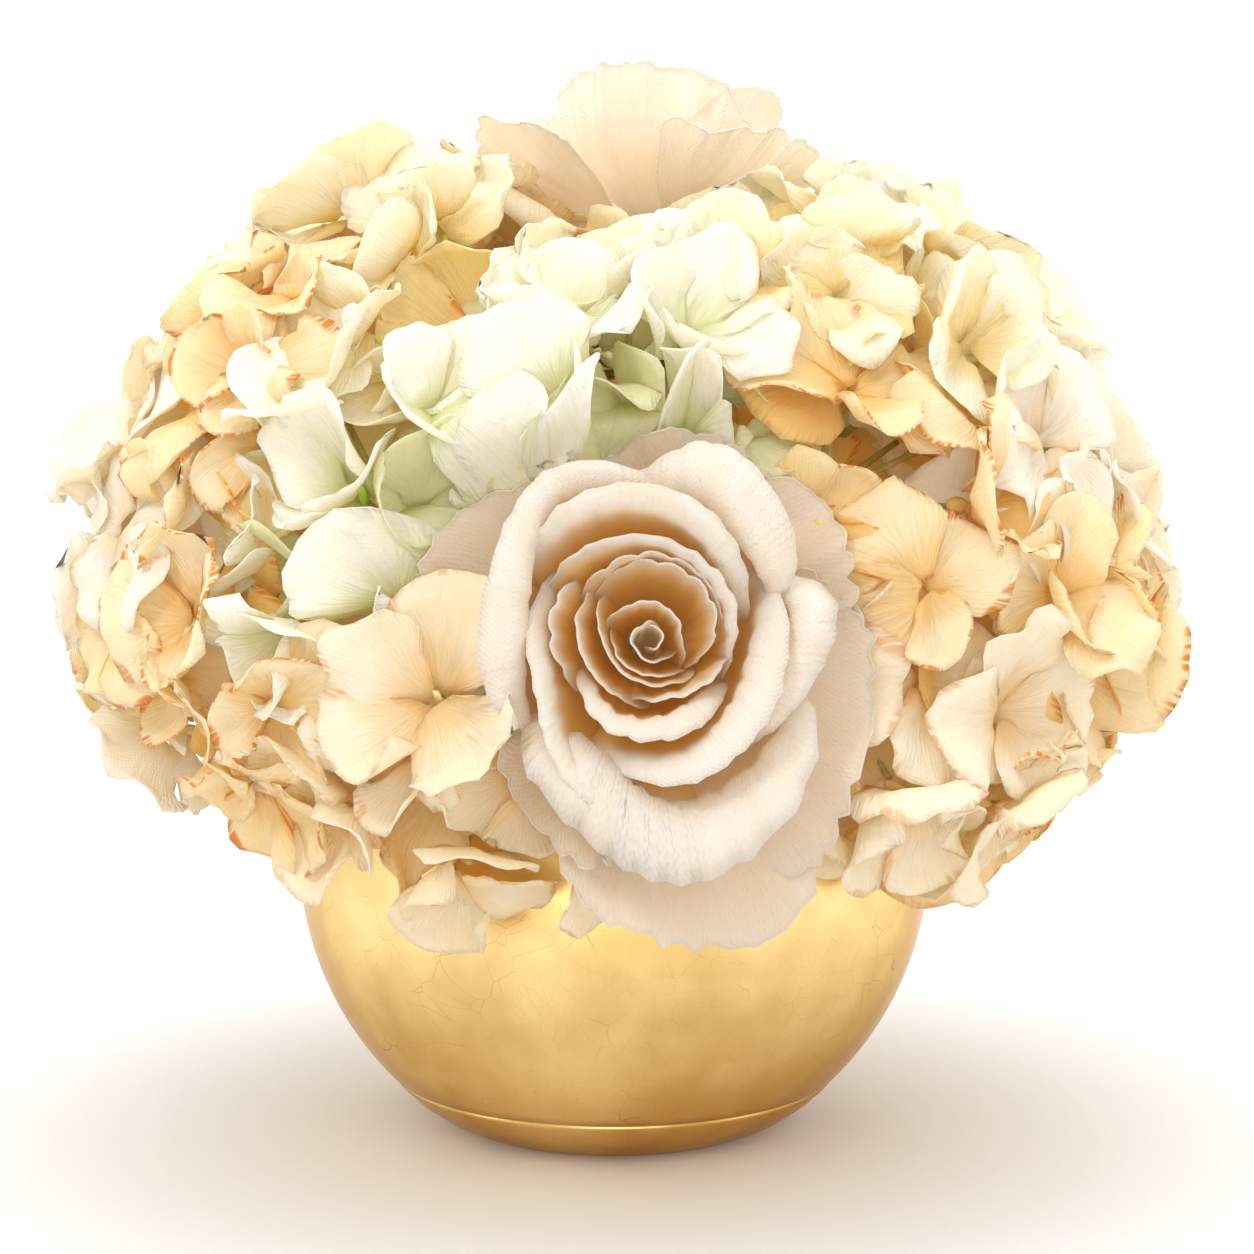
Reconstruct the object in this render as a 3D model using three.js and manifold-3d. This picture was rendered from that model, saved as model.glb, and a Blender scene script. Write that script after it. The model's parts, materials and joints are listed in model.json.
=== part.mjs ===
// Artificial flower centerpiece: two fabric garden roses and a dome of fabric hydrangea heads,
// their stems pushed into a block of dry foam that fills a gilded round bowl.
// Millimetres, +Z up. The origin is the middle of the bowl's flat underside; the front is -Y.
import * as THREE from "three";
import { mergeVertices } from "three/addons/utils/BufferGeometryUtils.js";
import Module from "manifold-3d";

const wasm = await Module();
wasm.setup();

// ---------------------------------------------------------------- driving dimensions
const CLEARANCE = 0.3; // between a stem and the hole it stands in
const SLIVER = 0.1; // faces narrower than this are closed up after a cut

const BOWL = {
  radius: 76, // outside of the round body
  centreHeight: 65.8,
  wall: 4,
  rimHeight: 92,
  floor: 5,
  footRadius: 37,
  ledgeRadius: 53.6, // where the foot band meets the round body
  ledgeHeight: 11.8,
  ledgeStep: 0.9,
  sides: 30,
};

const FOAM = { neckRadius: 58, shoulderHeight: 130, topHeight: 166, sides: 14, bowlGap: 1.8 };

const DOME = {
  centre: new THREE.Vector3(0, 0, 127),
  reach: new THREE.Vector3(136, 125, 116), // half width, half depth and half height of the flowers
};

const HEAD = {
  centreShare: 0.68, // head centres lie this share of the way out to the dome
  coreRadius: 17,
  gap: 0.25, // each head keeps this far from the plane it shares with its neighbour
  pressDepth: 4, // petals start to give way this far before that plane
  pressLift: 0.4,
  neighbourAngle: 75,
};

const STEM = { radius: 2.4, sides: 6, innerShare: 0.2, seatDepth: 9 };

const FLORET = {
  petals: 4,
  length: 28,
  halfWidth: 14,
  throat: 3.4,
  thickness: 1.2,
  spacing: 16.7, // least angle between two florets, in degrees
  latticePoints: 1500,
  rootShare: 0.3, // how far from the head's centre its stalk starts
};

// ---------------------------------------------------------------- materials
const fabric = (name, color, roughness = 0.8) =>
  new THREE.MeshStandardMaterial({ name, color, roughness, metalness: 0, side: THREE.DoubleSide });

const MATERIALS = {
  gold: new THREE.MeshStandardMaterial({ name: "gilt", color: 0xd9a648, roughness: 0.35, metalness: 1 }),
  foam: fabric("foam", 0x4a5a2c, 0.95),
  stem: fabric("stem", 0x7d8f3a, 0.6),
  rose: fabric("rose_cream", 0xf3e4d2),
  green: fabric("petal_green_white", 0xeef0dc),
  yellow: fabric("petal_yellow_cream", 0xf8e9c0),
  white: fabric("petal_white", 0xf6efe4),
  amber: fabric("petal_amber", 0xf2d3a0),
  cream: fabric("petal_cream", 0xf4dfc0),
};

// ---------------------------------------------------------------- the hydrangea heads
// aim: [degrees round from the front, degrees up] of the head, seen from the middle of the dome.
// florets: the same two angles for each floret placed by hand. The rest are filled in by a rule.
const HEADS = [
  {
    name: "hydrangea_green_left", colour: "green", aim: [-31, 17],
    florets: [[-32, 21], [-22, 19], [-40, 19], [-22, 31], [-37, 31], [-34, 11], [-24, 8]],
  },
  {
    name: "hydrangea_green_centre", colour: "green", aim: [2, 39],
    florets: [[-12, 25], [-6, 33], [0, 27], [9, 31], [10, 42], [19, 38], [3, 51], [26, 52], [-8, 45]],
  },
  {
    name: "hydrangea_yellow_left", colour: "yellow", aim: [-28, 54],
    florets: [[-23, 47], [-36, 42], [-16, 40], [-14, 55], [-46, 62], [-52, 52], [-26, 66]],
  },
  {
    name: "hydrangea_amber_top_left", colour: "amber", aim: [-58, 35],
    florets: [[-55, 45], [-50, 34], [-48, 24], [-62, 30], [-69, 41]],
  },
  {
    name: "hydrangea_white_left", colour: "white", aim: [-74, 13],
    florets: [[-63, 22], [-64, 12], [-54, 13], [-77, 20], [-78, 6]],
  },
  {
    name: "hydrangea_amber_left", colour: "amber", aim: [-46, -4],
    florets: [[-62, 1], [-50, 3], [-41, 4], [-50, -10], [-36, -5], [-30, 1], [-60, -9]],
  },
  {
    name: "hydrangea_cream_front_left", colour: "cream", aim: [-20, -17],
    florets: [[-19, -4], [-13, -12], [-28, -12], [-33, -20], [-18, -25], [-9, -20], [-24, -18]],
  },
  {
    name: "hydrangea_amber_right", colour: "amber", aim: [32, 24],
    florets: [[20, 29], [31, 34], [41, 37], [27, 24], [37, 26], [43, 19], [32, 17], [33, 9], [42, 12]],
  },
  {
    name: "hydrangea_yellow_right", colour: "yellow", aim: [52, 50],
    florets: [[52, 54], [46, 46], [70, 51], [66, 42], [31, 46], [54, 38], [42, 60]],
  },
  {
    name: "hydrangea_white_right", colour: "white", aim: [66, 22],
    florets: [[60, 33], [59, 24], [52, 17], [68, 18], [75, 28], [78, 12]],
  },
  {
    name: "hydrangea_amber_lower_right", colour: "amber", aim: [60, -2],
    florets: [[54, 6], [68, 4], [62, -5], [52, -2], [58, -13], [76, -4]],
  },
  {
    name: "hydrangea_cream_front_right", colour: "cream", aim: [36, -12],
    florets: [[37, 1], [45, -8], [33, -16], [30, -8], [46, -20], [28, 0], [25, -22]],
  },
  { name: "hydrangea_cream_back_right", colour: "cream", aim: [105, -2], florets: [] },
  { name: "hydrangea_amber_back_right", colour: "amber", aim: [150, 2], florets: [] },
  { name: "hydrangea_white_back", colour: "white", aim: [-165, -2], florets: [] },
  { name: "hydrangea_amber_back_left", colour: "amber", aim: [-120, -2], florets: [] },
  { name: "hydrangea_green_back_right", colour: "green", aim: [110, 38], florets: [] },
  { name: "hydrangea_yellow_back", colour: "yellow", aim: [175, 38], florets: [] },
  { name: "hydrangea_cream_back_left", colour: "cream", aim: [-115, 38], florets: [] },
];

// ---------------------------------------------------------------- the roses
// seat: the foot of the bloom. facing: the way it looks. spread: the angle, seen from the middle of
// the dome, within which no floret sits. outer: [angle, rim radius, height, span, roll] of each of the
// big petals round the cup, where an angle of 0 is to the right and 90 is up (or back, on the top rose).
const ROSES = [
  {
    name: "rose_front", seat: new THREE.Vector3(7, -78, 127), facing: [1, 13], size: 1, turn: 0, spread: 17, layers: 5,
    outer: [
      [165, 38, 36, 110, 5], [62, 41, 35, 104, 5], [-4, 38, 33, 70, 4], [-92, 47, 31, 120, 6],
      [172, 52, 20, 74, 1], [98, 49, 21, 80, 1], [38, 53, 19, 62, 1], [-24, 53, 18, 82, 1],
      [-84, 65, 17, 74, 1], [-140, 50, 20, 60, 1],
    ],
    leaves: [[118, 60], [64, 56], [28, 62], [-168, 62]],
  },
  {
    name: "rose_top", seat: new THREE.Vector3(8, 20, 213), facing: [170, 74], size: 0.82, turn: 40, spread: 13, layers: 3,
    outer: [
      [-100, 36, 42, 118, 3], [-20, 38, 40, 100, 4], [60, 39, 38, 100, 5], [140, 38, 38, 100, 5],
      [-150, 50, 30, 70, 2], [-60, 47, 26, 76, 1], [2, 50, 26, 70, 1], [75, 50, 20, 80, 1],
    ],
    leaves: [[120, 58]],
  },
];
const ROSE_STEM = { radius: 3, reach: 50, calyxRadius: 11, calyxHeight: 7 };
const ROSE_LEAF = { width: 15, thickness: 1.2, root: 5, lift: 9, drop: -7, room: 5 };

// Outline, from the foot of a rose, of the room that its cup takes among the hydrangeas: [radius, height].
const CUP_ROOM = [
  [0, -9], [12, -8], [17, 0], [30, 9], [38, 18], [45, 27], [45, 36], [39, 46], [32, 52], [0, 52],
];
// The room that its outer petals take: each is thickened, widened and, once, lengthened by this much.
const PETAL_ROOM = { rim: 4.5, height: 3.6, span: 16, thickness: 3.6 };

// Inner layers of a rose from the middle out: how many petals, the radius that they belly out to, the
// radius of their rim, their height, how many degrees each spans and how far its rim rolls outwards.
// A rose has as many of them, counted from the last, as its layers.
const ROSE_LAYERS = [
  { petals: 2, belly: 5, rim: 3, height: 34, span: 200, roll: 0 },
  { petals: 3, belly: 11, rim: 9, height: 37, span: 150, roll: 0 },
  { petals: 3, belly: 18, rim: 16, height: 44, span: 140, roll: 0.5 },
  { petals: 4, belly: 24, rim: 22, height: 45, span: 112, roll: 1 },
  { petals: 4, belly: 30, rim: 29, height: 42, span: 112, roll: 2.5 },
];
const ROSE_PETAL = { across: 4, along: 3, thickness: 1.1, spiral: 1.3, rootRadius: 3.5, coreRadius: 9 };

// ---------------------------------------------------------------- small tools
const radians = THREE.MathUtils.degToRad;

// A repeatable number from 0 to 1 for item and use.
function draw(item, use) {
  const x = Math.sin(item * 12.9898 + use * 78.233) * 43758.5453;
  return x - Math.floor(x);
}

// Unit direction for [degrees round from the front, degrees up].
function direction([round, up]) {
  const a = radians(round);
  const e = radians(up);
  return new THREE.Vector3(Math.sin(a) * Math.cos(e), -Math.cos(a) * Math.cos(e), Math.sin(e));
}

// The point a share of the way from the dome's middle out to its surface.
function domePoint(dir, share) {
  return dir.clone().multiply(DOME.reach).multiplyScalar(share).add(DOME.centre);
}

function solidFrom(points, triangles) {
  const mesh = new wasm.Mesh({
    numProp: 3,
    vertProperties: new Float32Array(points.flatMap((p) => [p.x, p.y, p.z])),
    triVerts: new Uint32Array(triangles.flat()),
  });
  mesh.merge();
  return new wasm.Manifold(mesh);
}

function solidOf(geometry) {
  const bare = new THREE.BufferGeometry().setAttribute("position", geometry.getAttribute("position").clone());
  if (geometry.index) bare.setIndex(geometry.index.clone());
  const merged = mergeVertices(bare, 1e-4);
  const index = Array.from(merged.index.array);
  const kept = [];
  for (let i = 0; i < index.length; i += 3) {
    const [a, b, c] = index.slice(i, i + 3);
    if (a !== b && b !== c && a !== c) kept.push(a, b, c);
  }
  const made = new wasm.Manifold(
    new wasm.Mesh({ numProp: 3, vertProperties: merged.attributes.position.array, triVerts: new Uint32Array(kept) }),
  );
  return made;
}

// A solid turned from a closed outline of [radius, height] points.
function turned(outline, sides) {
  const profile = outline.map(([r, z]) => new THREE.Vector2(r, z));
  return solidOf(new THREE.LatheGeometry(profile, sides).rotateX(Math.PI / 2));
}

// A round bar from one point to another.
function bar(from, to, radius, sides) {
  const length = from.distanceTo(to);
  const turn = new THREE.Quaternion().setFromUnitVectors(
    new THREE.Vector3(0, 1, 0),
    to.clone().sub(from).normalize(),
  );
  const middle = from.clone().add(to).multiplyScalar(0.5);
  const placed = new THREE.Matrix4().compose(middle, turn, new THREE.Vector3(1, 1, 1));
  return solidOf(new THREE.CylinderGeometry(radius, radius, length, sides).applyMatrix4(placed));
}

// A frame at a point: its third axis along facing, turned about it by spin degrees.
function frameAt(point, facing, spin) {
  const turn = new THREE.Quaternion().setFromUnitVectors(new THREE.Vector3(0, 0, 1), facing);
  turn.multiply(new THREE.Quaternion().setFromAxisAngle(new THREE.Vector3(0, 0, 1), radians(spin)));
  return new THREE.Matrix4().compose(point, turn, new THREE.Vector3(1, 1, 1));
}

// Only the largest body of a solid, without the scraps and slivers that a cut leaves.
function largest(solid) {
  const bodies = solid.simplify(SLIVER).decompose();
  return bodies.reduce((a, b) => (b.volume() > a.volume() ? b : a));
}

// ---------------------------------------------------------------- bowl and foam
// Heights and radii along a sphere about the bowl's centre, from one height to another.
function sphereArc(radius, fromHeight, toHeight, steps) {
  const angle = (h) => Math.asin((h - BOWL.centreHeight) / radius);
  const [a, b] = [angle(fromHeight), angle(toHeight)];
  return Array.from({ length: steps + 1 }, (_, i) => {
    const t = a + ((b - a) * i) / steps;
    return [radius * Math.cos(t), BOWL.centreHeight + radius * Math.sin(t)];
  });
}

function bowlSolid() {
  const { radius, wall, rimHeight, floor, footRadius, ledgeRadius, ledgeHeight, ledgeStep, sides } = BOWL;
  const rim = sphereArc(radius, ledgeHeight + ledgeStep, rimHeight, 7);
  const inside = sphereArc(radius - wall, rimHeight, floor, 5);
  const lip = [(rim.at(-1)[0] + inside[0][0]) / 2, rimHeight + wall * 0.4];
  return turned(
    [
      [0, 0], [footRadius, 0], [footRadius + 6, 2.6], [footRadius + 12, 7], [ledgeRadius - 0.3, ledgeHeight - 0.6],
      [ledgeRadius, ledgeHeight], ...rim, lip, ...inside, [0, floor],
    ],
    sides,
  );
}

function foamSolid() {
  const { neckRadius, shoulderHeight, topHeight, sides, bowlGap } = FOAM;
  const inside = sphereArc(BOWL.radius - BOWL.wall - bowlGap, BOWL.floor + CLEARANCE, BOWL.rimHeight - 6, 4);
  const crown = [0.35, 0.7, 1].map((share) => [
    neckRadius * Math.cos((share * Math.PI) / 2),
    shoulderHeight + (topHeight - shoulderHeight) * Math.sin((share * Math.PI) / 2),
  ]);
  crown.at(-1)[0] = 0;
  return turned(
    [[0, BOWL.floor + CLEARANCE], ...inside, [neckRadius, BOWL.rimHeight + 2], [neckRadius, shoulderHeight], ...crown],
    sides,
  );
}

// ---------------------------------------------------------------- hydrangea heads
const aims = HEADS.map((head) => direction(head.aim));

// Unit normals, towards the neighbours, of the planes through the dome's middle that bound a head.
function borders(index) {
  const least = Math.cos(radians(HEAD.neighbourAngle));
  return aims
    .filter((other, i) => i !== index && other.dot(aims[index]) > least)
    .map((other) => other.clone().sub(aims[index]).normalize());
}

// Where a point of a petal goes once its neighbours press on it: it stays on its own side of every
// border and rises outwards instead of crossing it.
function pressed(point, normals) {
  const { gap, pressDepth, pressLift } = HEAD;
  const room = pressDepth - gap;
  for (const normal of normals) {
    const beyond = point.clone().sub(DOME.centre).dot(normal);
    if (beyond <= -pressDepth) continue;
    const eased = -gap - room * Math.exp(-(beyond + pressDepth) / room);
    const out = point.clone().sub(DOME.centre).normalize();
    point.addScaledVector(normal, eased - beyond).addScaledVector(out, (beyond - eased) * pressLift);
  }
  return point;
}

// Points of a floret in its own frame: petals in a cup, thin at their edges.
function floretShape(seed) {
  const { petals, length, halfWidth, throat, thickness } = FLORET;
  const points = [new THREE.Vector3(0, 0, 0.4), new THREE.Vector3(0, 0, -1)];
  const triangles = [];
  const step = (2 * Math.PI) / petals;
  const outline = [[0.58, -0.95], [0.96, -0.6], [0.96, 0.6], [0.58, 0.95]];
  const perPetal = outline.length + 3; // notch, outline, middle above and below
  for (let k = 0; k < petals; k++) {
    const angle = k * step;
    const lift = Math.tan(radians(12 + 34 * draw(seed, k)));
    const reach = length * (0.9 + 0.16 * draw(seed, 10 + k));
    const lean = 3 * (draw(seed, 20 + k) - 0.5);
    const at = (along, across, extra = 0) => {
      const x = reach * along;
      const y = halfWidth * across;
      const z = lift * Math.max(0, x - throat) * 0.75 + lean * across + 0.9 * across * across + extra;
      return new THREE.Vector3(x * Math.cos(angle) - y * Math.sin(angle), x * Math.sin(angle) + y * Math.cos(angle), z);
    };
    const notch = angle + step / 2;
    points.push(new THREE.Vector3(throat * Math.cos(notch), throat * Math.sin(notch), 0));
    outline.forEach(([along, across]) => points.push(at(along, across)));
    points.push(at(0.55, 0, thickness / 2 - 1.2), at(0.55, 0, -thickness / 2 - 1.2));
  }
  const base = (k) => 2 + ((k + petals) % petals) * perPetal;
  for (let k = 0; k < petals; k++) {
    const before = base(k - 1);
    const after = base(k);
    const ring = [before, ...outline.map((_, i) => after + 1 + i), after];
    const above = after + outline.length + 1;
    const below = above + 1;
    for (let i = 0; i < ring.length - 1; i++) {
      triangles.push([above, ring[i], ring[i + 1]], [below, ring[i + 1], ring[i]]);
    }
    triangles.push([0, before, above], [0, above, after], [below, before, after], [1, after, before]);
  }
  return { points, triangles };
}

function floretSolid(floret, head) {
  const { points, triangles } = floretShape(floret.seed);
  const placed = frameAt(floret.point, floret.facing, floret.spin);
  const world = points.map((p) => pressed(p.applyMatrix4(placed), head.borders));
  world[1] = head.centre.clone().lerp(floret.point, FLORET.rootShare);
  return solidFrom(world, triangles);
}

// True where a floret may sit: above the bowl and clear of the roses.
function openTo(dir) {
  const lowest = Math.cos(Math.atan2(dir.x, -dir.y)) > 0.6 ? -27 : -21;
  if (dir.z < Math.sin(radians(lowest))) return false;
  return ROSES.every((rose) => {
    const towards = rose.seat.clone().addScaledVector(direction(rose.facing), 30).sub(DOME.centre);
    return dir.angleTo(towards.divide(DOME.reach)) > radians(rose.spread);
  });
}

// All florets: those placed by hand, then a spiral lattice wherever there is still room.
function allFlorets() {
  const florets = [];
  const least = radians(FLORET.spacing);
  const add = (dir, spacing) => {
    if (!openTo(dir) || florets.some((f) => f.dir.angleTo(dir) < spacing)) return;
    florets.push({ dir, seed: florets.length + 1 });
  };
  HEADS.forEach((head) => head.florets.forEach((angles) => add(direction(angles), least * 0.64)));
  const golden = Math.PI * (3 - Math.sqrt(5));
  for (let i = 0; i < FLORET.latticePoints; i++) {
    const up = 1 - (2 * (i + 0.5)) / FLORET.latticePoints;
    const flat = Math.sqrt(1 - up * up);
    add(new THREE.Vector3(flat * Math.cos(golden * i), flat * Math.sin(golden * i), up), least);
  }
  return florets;
}

function layOutHeads() {
  HEADS.forEach((head, i) => {
    head.dir = aims[i];
    head.centre = domePoint(aims[i], HEAD.centreShare);
    head.borders = borders(i);
    head.members = [];
  });
  for (const floret of allFlorets()) {
    const nearest = HEADS.reduce((a, b) => (b.dir.dot(floret.dir) > a.dir.dot(floret.dir) ? b : a));
    floret.point = domePoint(floret.dir, 0.9 + 0.05 * (draw(floret.seed, 30) - 0.5));
    const away = floret.point.clone().sub(nearest.centre).normalize();
    const wobble = new THREE.Vector3(draw(floret.seed, 31) - 0.5, draw(floret.seed, 32) - 0.5, draw(floret.seed, 33) - 0.5);
    floret.facing = away.add(floret.dir).addScaledVector(wobble, 0.72).normalize();
    floret.spin = 90 * draw(floret.seed, 34);
    nearest.members.push(floret);
  }
}

function headSolid(head, blocked) {
  const core = solidOf(new THREE.IcosahedronGeometry(HEAD.coreRadius)).translate(head.centre.toArray());
  let made = wasm.Manifold.union([core, ...head.members.map((floret) => floretSolid(floret, head))]);
  for (const normal of head.borders) {
    const back = normal.clone().negate();
    made = made.trimByPlane(back.toArray(), back.dot(DOME.centre) + HEAD.gap);
  }
  return largest(made.subtract(blocked));
}

// ---------------------------------------------------------------- stems
function stemEnds(head) {
  const inner = domePoint(head.dir, STEM.innerShare);
  const outward = head.centre.clone().sub(inner).normalize();
  const outer = head.centre.clone().addScaledVector(outward, STEM.seatDepth - HEAD.coreRadius);
  return { inner, outer, outward };
}

// The stem, or with extra the hole it stands in.
function stemSolid({ inner, outer, outward }, extra = 0) {
  return bar(
    inner.clone().addScaledVector(outward, -extra),
    outer.clone().addScaledVector(outward, extra),
    STEM.radius + extra,
    STEM.sides,
  );
}

// ---------------------------------------------------------------- roses
// A point of a rose petal. across runs from -1 to 1, along from 0 at the root to 1 at the rim.
function rosePoint(petal, across, along) {
  const { spiral, rootRadius } = ROSE_PETAL;
  const v = along * (1 - 0.16 * Math.abs(across) ** 2.5);
  const open = 0.3 + 0.7 * Math.sin((Math.PI / 2) * Math.min(1, v / 0.55));
  const angle = radians(petal.angle + (across * petal.span * open) / 2);
  const lift = Math.max(0, v - 0.72) / 0.28;
  const [root, bulge, rim] = [(1 - v) ** 2, 2 * v * (1 - v), v * v];
  const radius = root * rootRadius + bulge * petal.belly + rim * petal.rim + petal.roll * lift * lift;
  const height = 2 + (bulge * 0.28 + rim) * petal.height - 0.7 * petal.roll * lift * lift;
  const out = radius + spiral * across * v;
  return new THREE.Vector3(out * Math.cos(angle), out * Math.sin(angle), height);
}

// One petal: two faces that share their edge and are split into triangles alike. extra thickens it.
function rosePetal(petal, extra = 0) {
  const { across, along, thickness } = ROSE_PETAL;
  const points = [];
  const inner = [];
  const outer = [];
  for (let j = 0; j <= along; j++) {
    for (let i = 0; i <= across; i++) {
      const u = (2 * i) / across - 1;
      const v = j / along;
      const p = rosePoint(petal, u, v);
      const edge = i === 0 || j === 0 || i === across || j === along;
      const sideways = rosePoint(petal, u + 0.02, v).sub(p);
      const upwards = rosePoint(petal, u, v + 0.02).sub(p);
      const normal = sideways.cross(upwards).normalize();
      inner.push(points.push(edge ? p : p.clone().addScaledVector(normal, -extra)) - 1);
      outer.push(edge ? inner.at(-1) : points.push(p.clone().addScaledVector(normal, thickness + extra)) - 1);
    }
  }
  const triangles = [];
  const row = across + 1;
  for (let j = 0; j < along; j++) {
    for (let i = 0; i < across; i++) {
      const [a, b, c, d] = [j * row + i, j * row + i + 1, (j + 1) * row + i + 1, (j + 1) * row + i];
      const corners = (i + j) % 2 ? [[a, b, c], [a, c, d]] : [[a, b, d], [b, c, d]];
      for (const [x, y, z] of corners) {
        triangles.push([outer[x], outer[y], outer[z]], [inner[z], inner[y], inner[x]]);
      }
    }
  }
  const clean = triangles.filter(([x, y, z]) => x !== y && y !== z && x !== z);
  return solidFrom(points, clean);
}

function roseBloom(rose) {
  const core = solidOf(new THREE.IcosahedronGeometry(ROSE_PETAL.coreRadius, 1).scale(1, 1, 0.8).translate(0, 0, 4));
  const petals = [core];
  ROSE_LAYERS.slice(-rose.layers).forEach((layer, n) => {
    for (let k = 0; k < layer.petals; k++) {
      petals.push(rosePetal({ ...layer, angle: rose.turn + n * 47 + (k * 360) / layer.petals }));
    }
  });
  petals.push(...outerPetals(rose).map((petal) => rosePetal(petal)));
  return largest(wasm.Manifold.union(petals));
}

function outerPetals(rose) {
  return rose.outer.map(([angle, rim, height, span, roll]) => {
    return { angle, rim, height, span, roll, belly: height > 25 ? 36 : 34 };
  });
}

// The room that a rose takes among the hydrangeas.
function roseRoom(rose) {
  const petals = outerPetals(rose).map((petal) => ({ ...petal, span: petal.span + PETAL_ROOM.span }));
  const longer = petals.map((petal) => {
    return { ...petal, rim: petal.rim + PETAL_ROOM.rim, height: petal.height + PETAL_ROOM.height };
  });
  const wider = [...petals, ...longer].map((petal) => rosePetal(petal, PETAL_ROOM.thickness));
  const leaves = rose.leaves.map((leaf) => roseLeaf(leaf, ROSE_LEAF.room / 2));
  return wasm.Manifold.union([turned(CUP_ROOM, 20), ...wider, ...leaves]);
}

// A leaf below the outer petals: a folded blade that runs out from the calyx. extra thickens it.
function roseLeaf([turn, length], extra = 0) {
  const { width, thickness, root, lift, drop } = ROSE_LEAF;
  const half = thickness / 2 + extra;
  const a = radians(turn);
  const at = (along, across, up) => {
    const r = root + (length - root) * along;
    const s = (width / 2 + extra) * across;
    const z = drop + lift * Math.sin((along * Math.PI) / 2) * 2 + 2.2 * Math.abs(across) + up;
    return new THREE.Vector3(r * Math.cos(a) - s * Math.sin(a), r * Math.sin(a) + s * Math.cos(a), z);
  };
  const outline = [[0, -0.25], [0.3, -0.8], [0.6, -1], [0.85, -0.6], [1, 0], [0.85, 0.6], [0.6, 1], [0.3, 0.8], [0, 0.25]];
  const rib = [[0.25, 0], [0.75, 0]];
  const points = [...outline, ...rib].flatMap(([u, v]) => [at(u, v, half), at(u, v, -half)]);
  const faces = [[0, 1, 9], [1, 2, 9], [2, 3, 10], [3, 4, 10], [2, 10, 9], [4, 5, 10], [5, 6, 10], [6, 9, 10], [6, 7, 9], [7, 8, 9], [8, 0, 9]];
  const triangles = faces.flatMap(([x, y, z]) => [[2 * x, 2 * y, 2 * z], [2 * z + 1, 2 * y + 1, 2 * x + 1]]);
  outline.forEach((_, i) => {
    const j = (i + 1) % outline.length;
    triangles.push([2 * i, 2 * i + 1, 2 * j], [2 * j, 2 * i + 1, 2 * j + 1]);
  });
  return solidFrom(points, triangles);
}

// The green of a rose: its stem, a cup of sepals and leaves that lie under the outer petals.
function roseGreen(rose) {
  const { radius, reach, calyxRadius } = ROSE_STEM;
  const stem = bar(new THREE.Vector3(0, 0, -reach), new THREE.Vector3(0, 0, -4.6), radius, STEM.sides);
  const calyx = turned([[0, -9], [4, -9], [calyxRadius, -4.7], [calyxRadius, -3.9], [0, -3.9]], 8);
  return wasm.Manifold.union([stem, calyx, ...rose.leaves.map((leaf) => roseLeaf(leaf))]);
}

function placeOf(rose) {
  return frameAt(rose.seat, direction(rose.facing), 0).multiply(
    new THREE.Matrix4().makeScale(rose.size, rose.size, rose.size),
  );
}

const moved = (solid, matrix) => solid.transform(matrix.elements);

// ---------------------------------------------------------------- the model
const centerpiece = new THREE.Group();
centerpiece.name = "flower_centerpiece";

// Adds a solid as a mesh whose own origin is at a point of the model.
function addPiece(name, solid, material, at = new THREE.Vector3()) {
  const { numProp, numVert, vertProperties, triVerts } = solid.getMesh();
  const positions = new Float32Array(numVert * 3);
  for (let i = 0; i < numVert; i++) {
    for (let k = 0; k < 3; k++) positions[3 * i + k] = vertProperties[numProp * i + k] - at.getComponent(k);
  }
  const geometry = new THREE.BufferGeometry();
  geometry.setAttribute("position", new THREE.BufferAttribute(positions, 3));
  geometry.setIndex(new THREE.BufferAttribute(triVerts, 1));
  geometry.computeVertexNormals();
  const mesh = new THREE.Mesh(geometry, material);
  mesh.name = name;
  mesh.position.copy(at);
  centerpiece.add(mesh);
}

layOutHeads();

const stems = HEADS.map(stemEnds);
const roseParts = ROSES.map((rose) => {
  const place = placeOf(rose);
  const stemHole = bar(
    new THREE.Vector3(0, 0, -ROSE_STEM.reach - CLEARANCE),
    new THREE.Vector3(0, 0, -5),
    ROSE_STEM.radius + CLEARANCE * 1.4,
    STEM.sides,
  );
  return {
    bloom: moved(roseBloom(rose), place),
    green: moved(roseGreen(rose), place),
    room: moved(roseRoom(rose), place),
    hole: moved(stemHole, place),
  };
});
const holes = wasm.Manifold.union([
  ...stems.map((ends) => stemSolid(ends, CLEARANCE)),
  ...roseParts.map((part) => part.hole),
]);
const blocked = wasm.Manifold.union([holes, ...roseParts.map((part) => part.room)]);

addPiece("bowl", bowlSolid(), MATERIALS.gold);
addPiece("floral_foam", foamSolid().subtract(holes), MATERIALS.foam);
HEADS.forEach((head, i) => {
  addPiece(head.name, headSolid(head, blocked), MATERIALS[head.colour], head.centre);
  addPiece(head.name.replace("hydrangea", "stem"), stemSolid(stems[i]), MATERIALS.stem, stems[i].inner);
});
ROSES.forEach((rose, i) => {
  addPiece(rose.name, roseParts[i].bloom, MATERIALS.rose, rose.seat);
  addPiece(rose.name + "_stem", roseParts[i].green, MATERIALS.stem, rose.seat);
});

export default centerpiece;
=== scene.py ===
import json
import math

import bpy
import numpy as np
from mathutils import Matrix, Vector

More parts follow.
